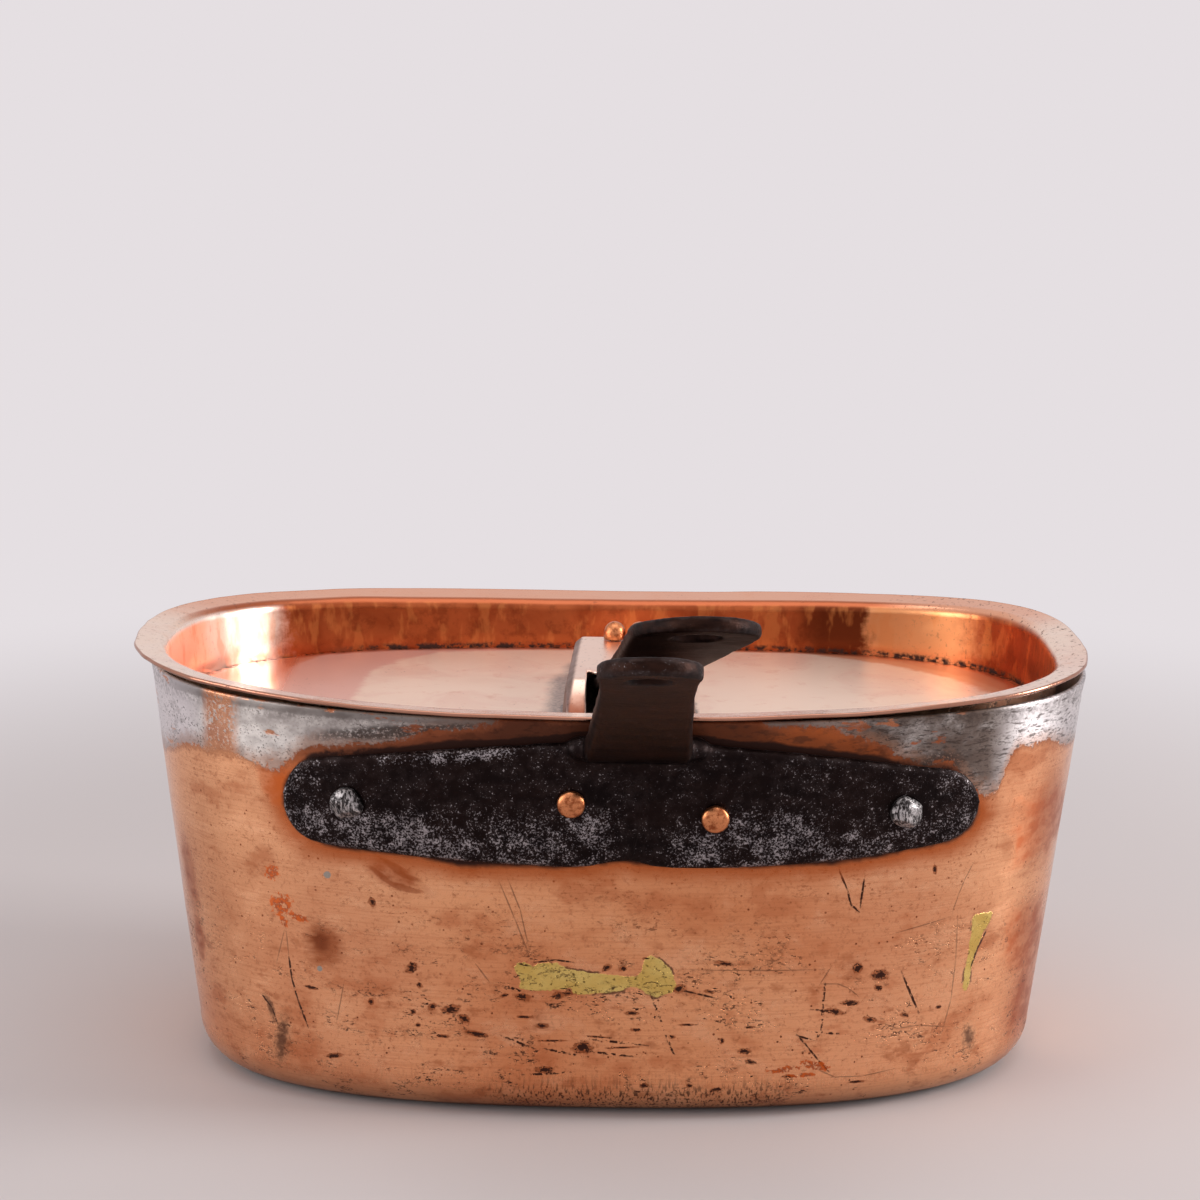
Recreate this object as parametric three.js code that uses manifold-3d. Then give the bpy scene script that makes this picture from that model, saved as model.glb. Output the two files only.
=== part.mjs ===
// An old lidded copper pan: a raised copper body with a wrought-iron handle riveted to its long
// front side, and a sunk copper lid with its own iron handle on a copper bridge.
// Millimetres, +Z up. The origin is the centre of the flat underside; the handles point to -Y.
import * as THREE from "three";
import { mergeVertices } from "three/addons/utils/BufferGeometryUtils.js";
import Module from "manifold-3d";

const wasm = await Module();
wasm.setup();

// Body sheet: half sizes of the outer outline at the rim, and where the wall would meet the ground
const POT_HEIGHT = 133.3;
const RIM_HALF_LENGTH = 154.8;
const RIM_HALF_DEPTH = 92.5;
const RIM_SHIFT_X = -0.9;
const WALL_LEAN = { ends: 14.8, sides: 10.3 };
const BASE_HALF_LENGTH = RIM_HALF_LENGTH - WALL_LEAN.ends;
const BASE_HALF_DEPTH = RIM_HALF_DEPTH - WALL_LEAN.sides;
const POT_SHEET = 1.8;
const BASE_CORNER = 15;
const RIM_RISE_AT_ENDS = 1.5;
const RIM_ROUND = 0.5;

// Squareness of the oval: 2 is an ellipse, more is squarer; the hand-raised ends differ a little
const RIM_SQUARENESS = { mean: 2.67, back: 0.13, right: 0.22 };
const BASE_SQUARENESS = { mean: 2.71, back: 0.13, right: -0.23 };

// Lid: a rolled collar (flange, round shoulder, wall and inner lip) with a flat floor on the lip
const LID_SHIFT_X = -3.5;
const LID_SHEET = 1.4;
const FLANGE_OVERHANG = { ends: 3.2, sides: 3.5 };
const FLANGE_HALF_LENGTH = RIM_HALF_LENGTH + FLANGE_OVERHANG.ends;
const FLANGE_HALF_DEPTH = RIM_HALF_DEPTH + FLANGE_OVERHANG.sides;
const FLANGE_WIDTH = 9.5;
const FLANGE_NARROWER_AT_ENDS = 2.7;
const FLANGE_DISH = 1.2;
const FLANGE_RISE_AT_ENDS = 5;
const SHOULDER_RADIUS = 4;
const RECESS_DEPTH = 17;
const COLLAR_TAPER = 1.5;
const LIP_WIDTH = 4;
const SEAT_GAP = 0.3;
const COLLAR_INSET = FLANGE_WIDTH + SHOULDER_RADIUS + COLLAR_TAPER;
const FLOOR_HALF_DEPTH = FLANGE_HALF_DEPTH - COLLAR_INSET - SEAT_GAP;

// Bridge on the lid floor: a copper housing, its top a bent strap with two soldered skirts, and a
// slot in its front that the lid handle comes out of. Both toes are set out from the floor's edge.
const BRIDGE_X = 3.2;
const BRIDGE_SHEET = 1.5;
const BRIDGE_TOP_Z_ABOVE_FLOOR = RECESS_DEPTH - 1.1;
const BRIDGE_TOE_FROM_EDGE = { front: 16.7, back: 30.7 };
const FRONT_TOE_Y = BRIDGE_TOE_FROM_EDGE.front - FLOOR_HALF_DEPTH;
const BACK_TOE_Y = FLOOR_HALF_DEPTH - BRIDGE_TOE_FROM_EDGE.back;
const BRIDGE_FRONT = { toe: FRONT_TOE_Y, heel: FRONT_TOE_Y + 12.5, crest: FRONT_TOE_Y + 28 };
const BRIDGE_BACK = { crest: BACK_TOE_Y - 22, heel: BACK_TOE_Y - 12, toe: BACK_TOE_Y };
const BRIDGE_HALF_WIDTHS = [
  [BRIDGE_FRONT.toe, 21],
  [BRIDGE_FRONT.heel, 20.4],
  [BRIDGE_FRONT.crest, 18.2],
  [BRIDGE_BACK.crest, 15.8],
  [BRIDGE_BACK.toe, 15.4],
];
const BRIDGE_BEND = 3.5;
const SKIRT = { sheet: 1.4, shoulderOut: 2.6, shoulderDrop: 2.2, footOut: 4 };
const SLOT_PLAY = 1.7;
const SLOT_FRONT_Y = BRIDGE_FRONT.heel + 2;
const SLOT_REAR_Y = BRIDGE_FRONT.crest + 9.5;
const SLOT_HORN = { reach: 5, width: 5 };

// Lid handle: a flat tang under the bridge, then a strap that rises over the rim to an oval eye
const LID_HANDLE_THICKNESS = 4.5;
const TANG_HALF_WIDTH = 12;
const TANG_REAR_Y = BRIDGE_BACK.crest - 1.2;
const LID_HANDLE_BEND_Y = SLOT_REAR_Y - 0.8;
const LID_HANDLE_RISE = THREE.MathUtils.degToRad(18.7);
const LID_HANDLE_SKEW = 0.1;
const LID_STRAP_FLARE_FROM = 12;
const LID_STRAP_WAIST = 1.2;
const LID_EYE = { at: 157, halfWidth: 18, halfLength: 22 };
const LID_EYE_HOLE = { at: 160, halfWidth: 6, halfLength: 9 };
const LID_RIVET_Y = BRIDGE_BACK.crest - 5.5;
const LID_RIVET_SPACING = 8.6;
const LID_RIVET = { shank: 1.8, head: 3.75, headHeight: 5.9, tailHeight: 1.8 };

// Pan handle: one iron forging, a tapered bar whose split root is spread into two long wings
const HANDLE_X = 5.3;
const BAR_ROOT_Z = POT_HEIGHT - 7.5;
const BAR_ROOT_Y = -RIM_HALF_DEPTH - 4.5;
const BAR_RISE = THREE.MathUtils.degToRad(20.5);
const BAR_LENGTH = 199;
const BAR_ROOT_THICKNESS = 8.4;
const BAR_TIP_THICKNESS = 5;
const BAR_HALF_WIDTHS = { root: 16.5, middle: 14.1, neck: 12.1, end: 12.9 };
const BAR_HOLE = { radius: 4.7, fromTip: 15 };
const BAR_BURIED = 14;
const WING_TIP_FROM_RIM_END = { left: 51, right: 43.6 };
const WING_LEFT_X = -RIM_HALF_LENGTH + WING_TIP_FROM_RIM_END.left;
const WING_RIGHT_X = RIM_HALF_LENGTH - WING_TIP_FROM_RIM_END.right;
const WING_CENTRE_THICKNESS = 5.6;
const WING_END_THICKNESS = 3.6;
const WING_BELOW_RIM = {
  centre: { top: 4.9, bottom: 46.3 },
  left: { top: 16.3, topPower: 1.6, bottom: 42.2, bottomPower: 2.2 },
  right: { top: 18.5, topPower: 1.5, bottom: 40.1, bottomPower: 2.6 },
};
const WING_TIP_ROUND = 12;
const WING_TIP_SQUARENESS = 2.7;
const WING_TIP_FLAT = 0.3;
const WING_EDGE_ROUND = 1.4;
const ROOT_KNUCKLE = { radiusX: 5.5, radiusY: 5.2, radiusZ: 4, belowRim: 7.2, outsideBar: 0.4 };
const SEAM = { x: 1.5, topBelowRim: 15.3, width: 1.1, depth: 1.3, notch: 2.6, notchReach: 8 };

// Rivets through the wings and the wall: where the shanks stand, seen from the front
const PAN_RIVETS = [
  { name: "rivet_outer_left", x: WING_LEFT_X + 21.3, z: POT_HEIGHT - 28.1, kind: "iron" },
  { name: "rivet_inner_left", x: HANDLE_X - 20, z: POT_HEIGHT - 24.5, kind: "copper" },
  { name: "rivet_inner_right", x: HANDLE_X + 23.6, z: POT_HEIGHT - 29, kind: "copper" },
  { name: "rivet_outer_right", x: WING_RIGHT_X - 24.1, z: POT_HEIGHT - 28.6, kind: "iron" },
];
const RIVET_SIZES = {
  iron: { shank: 3.1, head: 5.3, headHeight: 3.9, inside: 7, insideHeight: 2, sides: 11 },
  copper: { shank: 2.6, head: 4.3, headHeight: 2.8, inside: 6, insideHeight: 1.8, sides: 16 },
};

// Clearances, beside the seat gap above
const RIVET_PLAY = 0.3;
const CURVED_SEAT_GAP = 0.5;
const OUTLINE_STEPS = 96;

// Levels that follow from the sizes above; the dished flange rests on the rim's inner edge
const RIM_UNDER_FLANGE = FLANGE_HALF_DEPTH - RIM_HALF_DEPTH + POT_SHEET;
const DISH_OVER_RIM = FLANGE_DISH * (1 - RIM_UNDER_FLANGE / FLANGE_WIDTH);
const FLANGE_TOP_Z = POT_HEIGHT + SEAT_GAP + LID_SHEET - DISH_OVER_RIM;
const FLOOR_TOP_Z = FLANGE_TOP_Z - RECESS_DEPTH;
const BRIDGE_TOP_Z = FLOOR_TOP_Z + BRIDGE_TOP_Z_ABOVE_FLOOR;
const TANG_TOP_Z = BRIDGE_TOP_Z - BRIDGE_SHEET - SEAT_GAP;

// Materials
const COPPER = { color: 0xd98a63, roughness: 0.32, metalness: 1 };
const LID_COPPER = { color: 0xe3a184, roughness: 0.22, metalness: 1 };
const IRON = { color: 0x2c2829, roughness: 0.6, metalness: 0.7 };
const WORN_IRON = { color: 0x9a9896, roughness: 0.4, metalness: 0.9 };
const RIVET_COPPER = { color: 0xc9764a, roughness: 0.3, metalness: 1 };

const group = new THREE.Group();

function addPiece(name, geometry, material) {
  const mesh = new THREE.Mesh(geometry, new THREE.MeshStandardMaterial(material));
  mesh.name = name;
  group.add(mesh);
}

// Closed geometry as a solid for joining and cutting, and back again
function solid(geometry) {
  const plain = geometry.clone();
  plain.deleteAttribute("normal");
  plain.deleteAttribute("uv");
  const merged = mergeVertices(plain, 1e-3);
  return new wasm.Manifold(
    new wasm.Mesh({
      numProp: 3,
      vertProperties: merged.attributes.position.array,
      triVerts: new Uint32Array(merged.index.array),
    }),
  );
}

function geometryOf(shape) {
  const mesh = shape.getMesh();
  const geometry = new THREE.BufferGeometry();
  geometry.setAttribute("position", new THREE.BufferAttribute(new Float32Array(mesh.vertProperties), 3));
  geometry.setIndex(new THREE.BufferAttribute(new Uint32Array(mesh.triVerts), 1));
  return geometry;
}

function joined(shapes) {
  return shapes.reduce((all, next) => all.add(next));
}

// A skin of rings of points: capped at both ends, or closed round from the last ring to the first
function skin(rings, { round = false } = {}) {
  const count = rings[0].length;
  const points = rings.flat();
  const index = [];
  const spans = round ? rings.length : rings.length - 1;
  for (let k = 0; k < spans; k++) {
    const low = k * count;
    const high = ((k + 1) % rings.length) * count;
    for (let i = 0; i < count; i++) {
      const j = (i + 1) % count;
      index.push(low + i, low + j, high + j, low + i, high + j, high + i);
    }
  }
  if (!round) {
    const last = (rings.length - 1) * count;
    points.push(middle(rings[0]), middle(rings[rings.length - 1]));
    for (let i = 0; i < count; i++) {
      const j = (i + 1) % count;
      index.push(points.length - 2, j, i, points.length - 1, last + i, last + j);
    }
  }
  const geometry = new THREE.BufferGeometry().setFromPoints(points);
  geometry.setIndex(index);
  return geometry;
}

function middle(ring) {
  return ring.reduce((sum, p) => sum.add(p), new THREE.Vector3()).divideScalar(ring.length);
}

const mix = (from, to, share) => from + (to - from) * share;

// A value read off a table of [position, value] rows, with straight runs between them
function lookUp(rows, at) {
  const next = rows.findIndex((row) => row[0] >= at);
  if (next === 0) return rows[0][1];
  if (next < 0) return rows[rows.length - 1][1];
  const [fromAt, from] = rows[next - 1];
  const [toAt, to] = rows[next];
  return mix(from, to, (at - fromAt) / (toAt - fromAt));
}

// Point of a squared oval: |x/a|^n + |y/b|^n = 1, where n varies slowly round the outline
function ovalPoint(angle, halfLength, halfDepth, squareness) {
  const c = Math.cos(angle);
  const s = Math.sin(angle);
  const n = squareness.mean + squareness.back * s + squareness.right * c;
  const reach = (Math.abs(c) ** n + Math.abs(s) ** n) ** (-1 / n);
  return new THREE.Vector2(halfLength * c * reach, halfDepth * s * reach);
}

function ovalInwards(angle, halfLength, halfDepth, squareness) {
  const step = 1e-3;
  const before = ovalPoint(angle - step, halfLength, halfDepth, squareness);
  const after = ovalPoint(angle + step, halfLength, halfDepth, squareness);
  const along = after.sub(before).normalize();
  return new THREE.Vector2(-along.y, along.x);
}

const ANGLES = Array.from({ length: OUTLINE_STEPS }, (_, i) => (2 * Math.PI * i) / OUTLINE_STEPS);

// Outer outline of the body wall at a height, moved inwards by inset
function wallSection(z) {
  const share = z / POT_HEIGHT;
  const squareness = {};
  for (const key of Object.keys(RIM_SQUARENESS)) {
    squareness[key] = mix(BASE_SQUARENESS[key], RIM_SQUARENESS[key], share);
  }
  return [
    mix(BASE_HALF_LENGTH, RIM_HALF_LENGTH, share),
    mix(BASE_HALF_DEPTH, RIM_HALF_DEPTH, share),
    squareness,
  ];
}

function wallPoint(angle, z, inset = 0) {
  const section = wallSection(z);
  const p = ovalPoint(angle, ...section).addScaledVector(ovalInwards(angle, ...section), inset);
  const shift = mix(0, RIM_SHIFT_X, z / POT_HEIGHT);
  return new THREE.Vector3(p.x + shift, p.y, z);
}

function wallRing(z, inset, zAt = z, rises = false) {
  return ANGLES.map((angle) => {
    const p = wallPoint(angle, z, inset);
    p.z = zAt + (rises ? RIM_RISE_AT_ENDS * (p.x / RIM_HALF_LENGTH) ** 2 : 0);
    return p;
  });
}

// Body: flat underside, rounded corner, tapered wall, softened rim, and the same way back inside
const WALL_LEVELS = [0.33, 0.62, 0.88].map((share) => share * POT_HEIGHT);
const CORNER_TURNS = [0, 0.25, 0.5, 0.75, 1].map((share) => (share * Math.PI) / 2);

function cornerRings(radius, sheet) {
  return CORNER_TURNS.map((turn) =>
    wallRing(BASE_CORNER, sheet + radius * (1 - Math.sin(turn)), sheet + radius * (1 - Math.cos(turn))),
  );
}

function makePotBody() {
  const outside = cornerRings(BASE_CORNER, 0);
  const inside = cornerRings(BASE_CORNER - POT_SHEET, POT_SHEET).reverse();
  const rings = [
    ...outside,
    ...WALL_LEVELS.map((z) => wallRing(z, 0)),
    wallRing(POT_HEIGHT, 0, POT_HEIGHT - RIM_ROUND, true),
    wallRing(POT_HEIGHT, RIM_ROUND, POT_HEIGHT, true),
    wallRing(POT_HEIGHT, POT_SHEET - RIM_ROUND, POT_HEIGHT, true),
    wallRing(POT_HEIGHT, POT_SHEET, POT_HEIGHT - RIM_ROUND, true),
    ...[...WALL_LEVELS].reverse().map((z) => wallRing(z, POT_SHEET)),
    ...inside,
  ];
  return PAN_RIVETS.reduce(
    (body, rivet) => body.subtract(rivetHole(rivet, RIVET_SIZES[rivet.kind].shank + RIVET_PLAY)),
    solid(skin(rings)),
  );
}

// Everything within the outer wall and a gap round it, which the forging is cut back to
function wallEnvelope(gap) {
  const levels = [BASE_CORNER, ...WALL_LEVELS, POT_HEIGHT, 1.2 * POT_HEIGHT];
  return solid(skin(levels.map((z) => wallRing(z, -gap))));
}

// Angle of the front wall point with a given x, found by halving
function frontAngle(x, z) {
  let low = Math.PI;
  let high = 2 * Math.PI;
  for (let i = 0; i < 40; i++) {
    const mid = (low + high) / 2;
    if (wallPoint(mid, z).x < x) low = mid;
    else high = mid;
  }
  return (low + high) / 2;
}

function wallFrame(x, z) {
  const angle = frontAngle(x, z);
  const point = wallPoint(angle, z);
  const along = wallPoint(angle + 1e-3, z).sub(wallPoint(angle - 1e-3, z)).normalize();
  const up = wallPoint(angle, z + 0.5).sub(wallPoint(angle, z - 0.5)).normalize();
  const outwards = new THREE.Vector3().crossVectors(along, up).normalize();
  return { point, outwards };
}

function offWall(x, z, distance) {
  const { point, outwards } = wallFrame(x, z);
  return point.addScaledVector(outwards, distance);
}

// Wings: how far along a wing x lies (0 at the bar, 1 at its tip), and the plate's edges there
function wingShare(x) {
  const tip = x < HANDLE_X ? WING_LEFT_X : WING_RIGHT_X;
  return (x - HANDLE_X) / (tip - HANDLE_X);
}

// How far the lower edge lifts where the two spread halves meet
function seamNotch(x) {
  return SEAM.notch * Math.exp(-(((x - SEAM.x) / SEAM.notchReach) ** 2));
}

function wingSpan(x) {
  const share = wingShare(x);
  const { centre, left, right } = WING_BELOW_RIM;
  const end = x < HANDLE_X ? left : right;
  const top = POT_HEIGHT - mix(centre.top, end.top, share ** end.topPower);
  const bottom = POT_HEIGHT - mix(centre.bottom, end.bottom, share ** end.bottomPower) + seamNotch(x);
  const toTip = Math.min(x - WING_LEFT_X, WING_RIGHT_X - x);
  const closing = Math.max(0, 1 - toTip / WING_TIP_ROUND);
  const opening = Math.sqrt(Math.max(0, 1 - closing ** WING_TIP_SQUARENESS));
  const half = ((top - bottom) / 2) * Math.max(opening, WING_TIP_FLAT);
  const middleZ = (top + bottom) / 2;
  return { top: middleZ + half, bottom: middleZ - half };
}

function wingThickness(x) {
  return mix(WING_CENTRE_THICKNESS, WING_END_THICKNESS, wingShare(x));
}

function makeWings() {
  const tipSteps = [0, 0.02, 0.08, 0.2, 0.4, 0.7, 1].map((share) => share * WING_TIP_ROUND);
  const between = 30;
  const from = WING_LEFT_X + WING_TIP_ROUND;
  const to = WING_RIGHT_X - WING_TIP_ROUND;
  const columns = [
    ...tipSteps.map((step) => WING_LEFT_X + step),
    ...Array.from({ length: between - 1 }, (_, i) => mix(from, to, (i + 1) / between)),
    ...tipSteps.map((step) => WING_RIGHT_X - step).reverse(),
  ];
  const rings = columns.map((x) => {
    const { top, bottom } = wingSpan(x);
    const thick = wingThickness(x);
    const round = Math.min(WING_EDGE_ROUND, (top - bottom) / 5);
    const atTip = Math.min(x - WING_LEFT_X, WING_RIGHT_X - x) < 0.1 ? 0.55 : 1;
    const face = thick * atTip;
    return [
      [top, -2],
      [top, face - round],
      [top - round, face],
      [mix(top, bottom, 0.33), face],
      [mix(top, bottom, 0.67), face],
      [bottom + round, face],
      [bottom, face - round],
      [bottom, -2],
    ].map(([z, distance]) => offWall(x, z, distance));
  });
  return solid(skin(rings));
}

// A bar's outline on the ground plane, v across and u along it, with a round end and a hole
function barOutline() {
  const end = BAR_HALF_WIDTHS.end;
  const endAt = BAR_LENGTH - end;
  const side = [
    new THREE.Vector2(BAR_HALF_WIDTHS.middle, BAR_LENGTH * 0.38),
    new THREE.Vector2(BAR_HALF_WIDTHS.neck, BAR_LENGTH * 0.8),
    new THREE.Vector2(end, endAt),
  ];
  const shape = new THREE.Shape();
  shape.moveTo(-BAR_HALF_WIDTHS.root, -BAR_BURIED);
  shape.lineTo(BAR_HALF_WIDTHS.root, -BAR_BURIED);
  shape.lineTo(BAR_HALF_WIDTHS.root, 0);
  shape.splineThru(side);
  shape.absarc(0, endAt, end, 0, Math.PI, false);
  const backTo = [...side.slice(0, -1).reverse(), new THREE.Vector2(BAR_HALF_WIDTHS.root, 0)];
  shape.splineThru(backTo.map(mirrored));
  shape.lineTo(-BAR_HALF_WIDTHS.root, -BAR_BURIED);
  const hole = new THREE.Path();
  hole.absarc(0, BAR_LENGTH - BAR_HOLE.fromTip, BAR_HOLE.radius, 0, 2 * Math.PI, true);
  shape.holes.push(hole);
  return shape;
}

function mirrored(p) {
  return new THREE.Vector2(-p.x, p.y);
}

// A flat strap, its outline on the ground plane, with softened edges and centred on its thickness
function strap(outline, thickness, soften, curveSegments) {
  const geometry = new THREE.ExtrudeGeometry(outline, {
    depth: thickness - 2 * soften,
    bevelEnabled: true,
    bevelThickness: soften,
    bevelSize: soften,
    bevelOffset: -soften,
    bevelSegments: 1,
    curveSegments,
  });
  return geometry.translate(0, 0, soften - thickness / 2);
}

// Stands an outline's strap up: its length points to -Y and rises, its width stays along X
function raised(geometry, rise, x, y, z) {
  return geometry
    .rotateZ(Math.PI)
    .rotateX(-rise)
    .translate(x, y, z);
}

function makePanHandle() {
  const bar = strap(barOutline(), BAR_ROOT_THICKNESS, 1.3, 9);
  const place = bar.attributes.position;
  for (let i = 0; i < place.count; i++) {
    const share = Math.max(0, place.getY(i) / BAR_LENGTH);
    place.setZ(i, (place.getZ(i) * mix(BAR_ROOT_THICKNESS, BAR_TIP_THICKNESS, share)) / BAR_ROOT_THICKNESS);
  }
  raised(bar, BAR_RISE, HANDLE_X, BAR_ROOT_Y, BAR_ROOT_Z);
  const knuckles = [-1, 1].map((side) => {
    const knuckle = new THREE.SphereGeometry(1, 18, 12);
    knuckle.scale(ROOT_KNUCKLE.radiusX, ROOT_KNUCKLE.radiusY, ROOT_KNUCKLE.radiusZ);
    const x = HANDLE_X + side * (BAR_HALF_WIDTHS.root + ROOT_KNUCKLE.outsideBar);
    const seat = offWall(x, POT_HEIGHT - ROOT_KNUCKLE.belowRim, WING_CENTRE_THICKNESS * 0.6);
    return solid(knuckle.translate(seat.x, seat.y, seat.z));
  });
  const forging = joined([makeWings(), solid(bar), ...knuckles]).subtract(wallEnvelope(SEAT_GAP + 0.05));
  const bored = PAN_RIVETS.reduce(
    (piece, rivet) => piece.subtract(rivetHole(rivet, RIVET_SIZES[rivet.kind].shank + RIVET_PLAY)),
    forging,
  );
  return bored.subtract(seamGroove());
}

// Groove where the two spread halves of the split bar meet, a thin wedge along the wing's face
function seamGroove() {
  const bottom = wingSpan(SEAM.x).bottom - 2;
  const top = POT_HEIGHT - SEAM.topBelowRim;
  const sections = [bottom, (bottom + top) / 2, top];
  const rings = sections.map((z) => {
    const { point, outwards } = wallFrame(SEAM.x, z);
    const face = point.clone().addScaledVector(outwards, WING_CENTRE_THICKNESS + 0.6);
    const floor = point.clone().addScaledVector(outwards, WING_CENTRE_THICKNESS - SEAM.depth);
    const half = new THREE.Vector3(SEAM.width / 2 + 0.3, 0, 0);
    return [floor, face.clone().add(half), face.clone().sub(half)];
  });
  return solid(skin(rings));
}

// Rivets stand square to the wall: local +Y points outwards from the wall's outer face
function squareToWall(geometry, x, z) {
  const { point, outwards } = wallFrame(x, z);
  const turn = new THREE.Quaternion().setFromUnitVectors(new THREE.Vector3(0, 1, 0), outwards);
  return geometry.applyQuaternion(turn).translate(point.x, point.y, point.z);
}

function rivetHole(rivet, radius) {
  return solid(squareToWall(new THREE.CylinderGeometry(radius, radius, 40, 20), rivet.x, rivet.z));
}

// Half section of a rivet from its tail on the axis to its head on the axis
function rivetProfile(size, grip) {
  const crown = (radius, height, base, sign) =>
    [0.25, 0.5, 0.75].map((share) => {
      const turn = (share * Math.PI) / 2;
      const rise = height * (0.35 + 0.65 * Math.sin(turn));
      return new THREE.Vector2(radius * Math.cos(turn), base + sign * rise);
    });
  const inner = -grip.inside;
  const outer = grip.outside;
  return [
    new THREE.Vector2(0, inner - size.insideHeight),
    ...crown(size.inside, size.insideHeight, inner, -1).reverse(),
    new THREE.Vector2(size.inside, inner - size.insideHeight * 0.3),
    new THREE.Vector2(size.inside, inner),
    new THREE.Vector2(size.shank, inner),
    new THREE.Vector2(size.shank, outer),
    new THREE.Vector2(size.head, outer),
    new THREE.Vector2(size.head, outer + size.headHeight * 0.3),
    ...crown(size.head, size.headHeight, outer, 1),
    new THREE.Vector2(0, outer + size.headHeight),
  ];
}

function makePanRivet(rivet) {
  const size = RIVET_SIZES[rivet.kind];
  const grip = {
    inside: POT_SHEET + CURVED_SEAT_GAP,
    outside: wingThickness(rivet.x) + SEAT_GAP,
  };
  return squareToWall(new THREE.LatheGeometry(rivetProfile(size, grip), size.sides), rivet.x, rivet.z);
}

// Lid collar: its section in distance inwards from the flange edge and height, run round the oval
function collarSection() {
  const top = FLANGE_TOP_Z;
  const turns = [0, 0.33, 0.67, 1].map((share) => (share * Math.PI) / 2);
  const shoulderOut = SHOULDER_RADIUS - LID_SHEET;
  const lipTop = FLOOR_TOP_Z - LID_SHEET - SEAT_GAP;
  const footInside = COLLAR_INSET;
  return [
    [footInside + LIP_WIDTH, lipTop - LID_SHEET, 0],
    [footInside - LID_SHEET + 1, lipTop - LID_SHEET, 0],
    [footInside - LID_SHEET, lipTop - LID_SHEET + 1, 0],
    ...turns.map((turn) => [
      FLANGE_WIDTH + shoulderOut * Math.cos(turn),
      top - SHOULDER_RADIUS + shoulderOut * Math.sin(turn),
      1,
    ]),
    [0.3, top - LID_SHEET + FLANGE_DISH, 1],
    [0, top - LID_SHEET / 2 + FLANGE_DISH, 1],
    [0.3, top + FLANGE_DISH, 1],
    ...turns.map((turn) => [
      FLANGE_WIDTH + SHOULDER_RADIUS * Math.sin(turn),
      top - SHOULDER_RADIUS + SHOULDER_RADIUS * Math.cos(turn),
      1,
    ]),
    [footInside, lipTop, 0],
    [footInside + LIP_WIDTH, lipTop, 0],
  ];
}

function lidRing(inwards, z, rise) {
  const section = [FLANGE_HALF_LENGTH, FLANGE_HALF_DEPTH, RIM_SQUARENESS];
  const narrower = inwards < FLANGE_WIDTH ? 0 : FLANGE_NARROWER_AT_ENDS;
  return ANGLES.map((angle) => {
    const p = ovalPoint(angle, ...section);
    const endwise = (p.x / FLANGE_HALF_LENGTH) ** 2;
    p.addScaledVector(ovalInwards(angle, ...section), inwards - narrower * endwise);
    return new THREE.Vector3(p.x + LID_SHIFT_X, p.y, z + rise * FLANGE_RISE_AT_ENDS * endwise);
  });
}

function makeLidCollar() {
  return skin(collarSection().map(([inwards, z, rise]) => lidRing(inwards, z, rise)), { round: true });
}

function makeLidFloor() {
  const inwards = COLLAR_INSET + SEAT_GAP;
  return skin([lidRing(inwards, FLOOR_TOP_Z - LID_SHEET, 0), lidRing(inwards, FLOOR_TOP_Z, 0)]);
}

// A path of straight runs with each inner corner turned on an arc
function roundedPath(corners, radius, steps = 4) {
  const path = [corners[0]];
  for (let k = 1; k < corners.length - 1; k++) {
    const back = corners[k - 1].clone().sub(corners[k]).normalize();
    const ahead = corners[k + 1].clone().sub(corners[k]).normalize();
    const half = Math.acos(back.dot(ahead)) / 2;
    const inset = radius / Math.tan(half);
    const start = corners[k].clone().addScaledVector(back, inset);
    const finish = corners[k].clone().addScaledVector(ahead, inset);
    const toCentre = back.clone().add(ahead).setLength(radius / Math.sin(half));
    const centre = toCentre.add(corners[k]);
    for (let i = 0; i <= steps; i++) {
      const spoke = start.clone().lerp(finish, i / steps).sub(centre).normalize();
      path.push(centre.clone().addScaledVector(spoke, radius));
    }
  }
  path.push(corners[corners.length - 1]);
  return path;
}

// Bridge: its side profile in y and z is run along as cross sections, each a flat top with a sloping
// shoulder and a skirt on either side, less the same sections inside its sheet, slotted and drilled
function makeLidBridge() {
  const ground = FLOOR_TOP_Z + SEAT_GAP;
  const footTop = ground + BRIDGE_SHEET;
  const corners = [
    [BRIDGE_FRONT.toe, footTop],
    [BRIDGE_FRONT.heel, footTop],
    [BRIDGE_FRONT.crest, BRIDGE_TOP_Z],
    [BRIDGE_BACK.crest, BRIDGE_TOP_Z],
    [BRIDGE_BACK.heel, footTop],
    [BRIDGE_BACK.toe, footTop],
  ].map(([y, z]) => new THREE.Vector2(y, z));
  const path = roundedPath(corners, BRIDGE_BEND);
  const outside = path.map((p) => bridgeSection(p, p.x, ground, 0));
  const inside = path.map((p, i) => {
    const before = path[Math.max(0, i - 1)];
    const after = path[Math.min(path.length - 1, i + 1)];
    const along = after.clone().sub(before).normalize();
    const under = p.clone().add(new THREE.Vector2(along.y, -along.x).multiplyScalar(BRIDGE_SHEET));
    under.y -= 0.01;
    return bridgeSection(under, p.x, ground - 1, SKIRT.sheet);
  });
  const bridge = solid(skin(outside)).subtract(solid(skin(inside))).subtract(slotCutter());
  return lidRivetPlaces().reduce(
    (piece, x) => piece.subtract(uprightPin(x, LID_RIVET_Y, LID_RIVET.shank + RIVET_PLAY)),
    bridge,
  );
}

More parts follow.
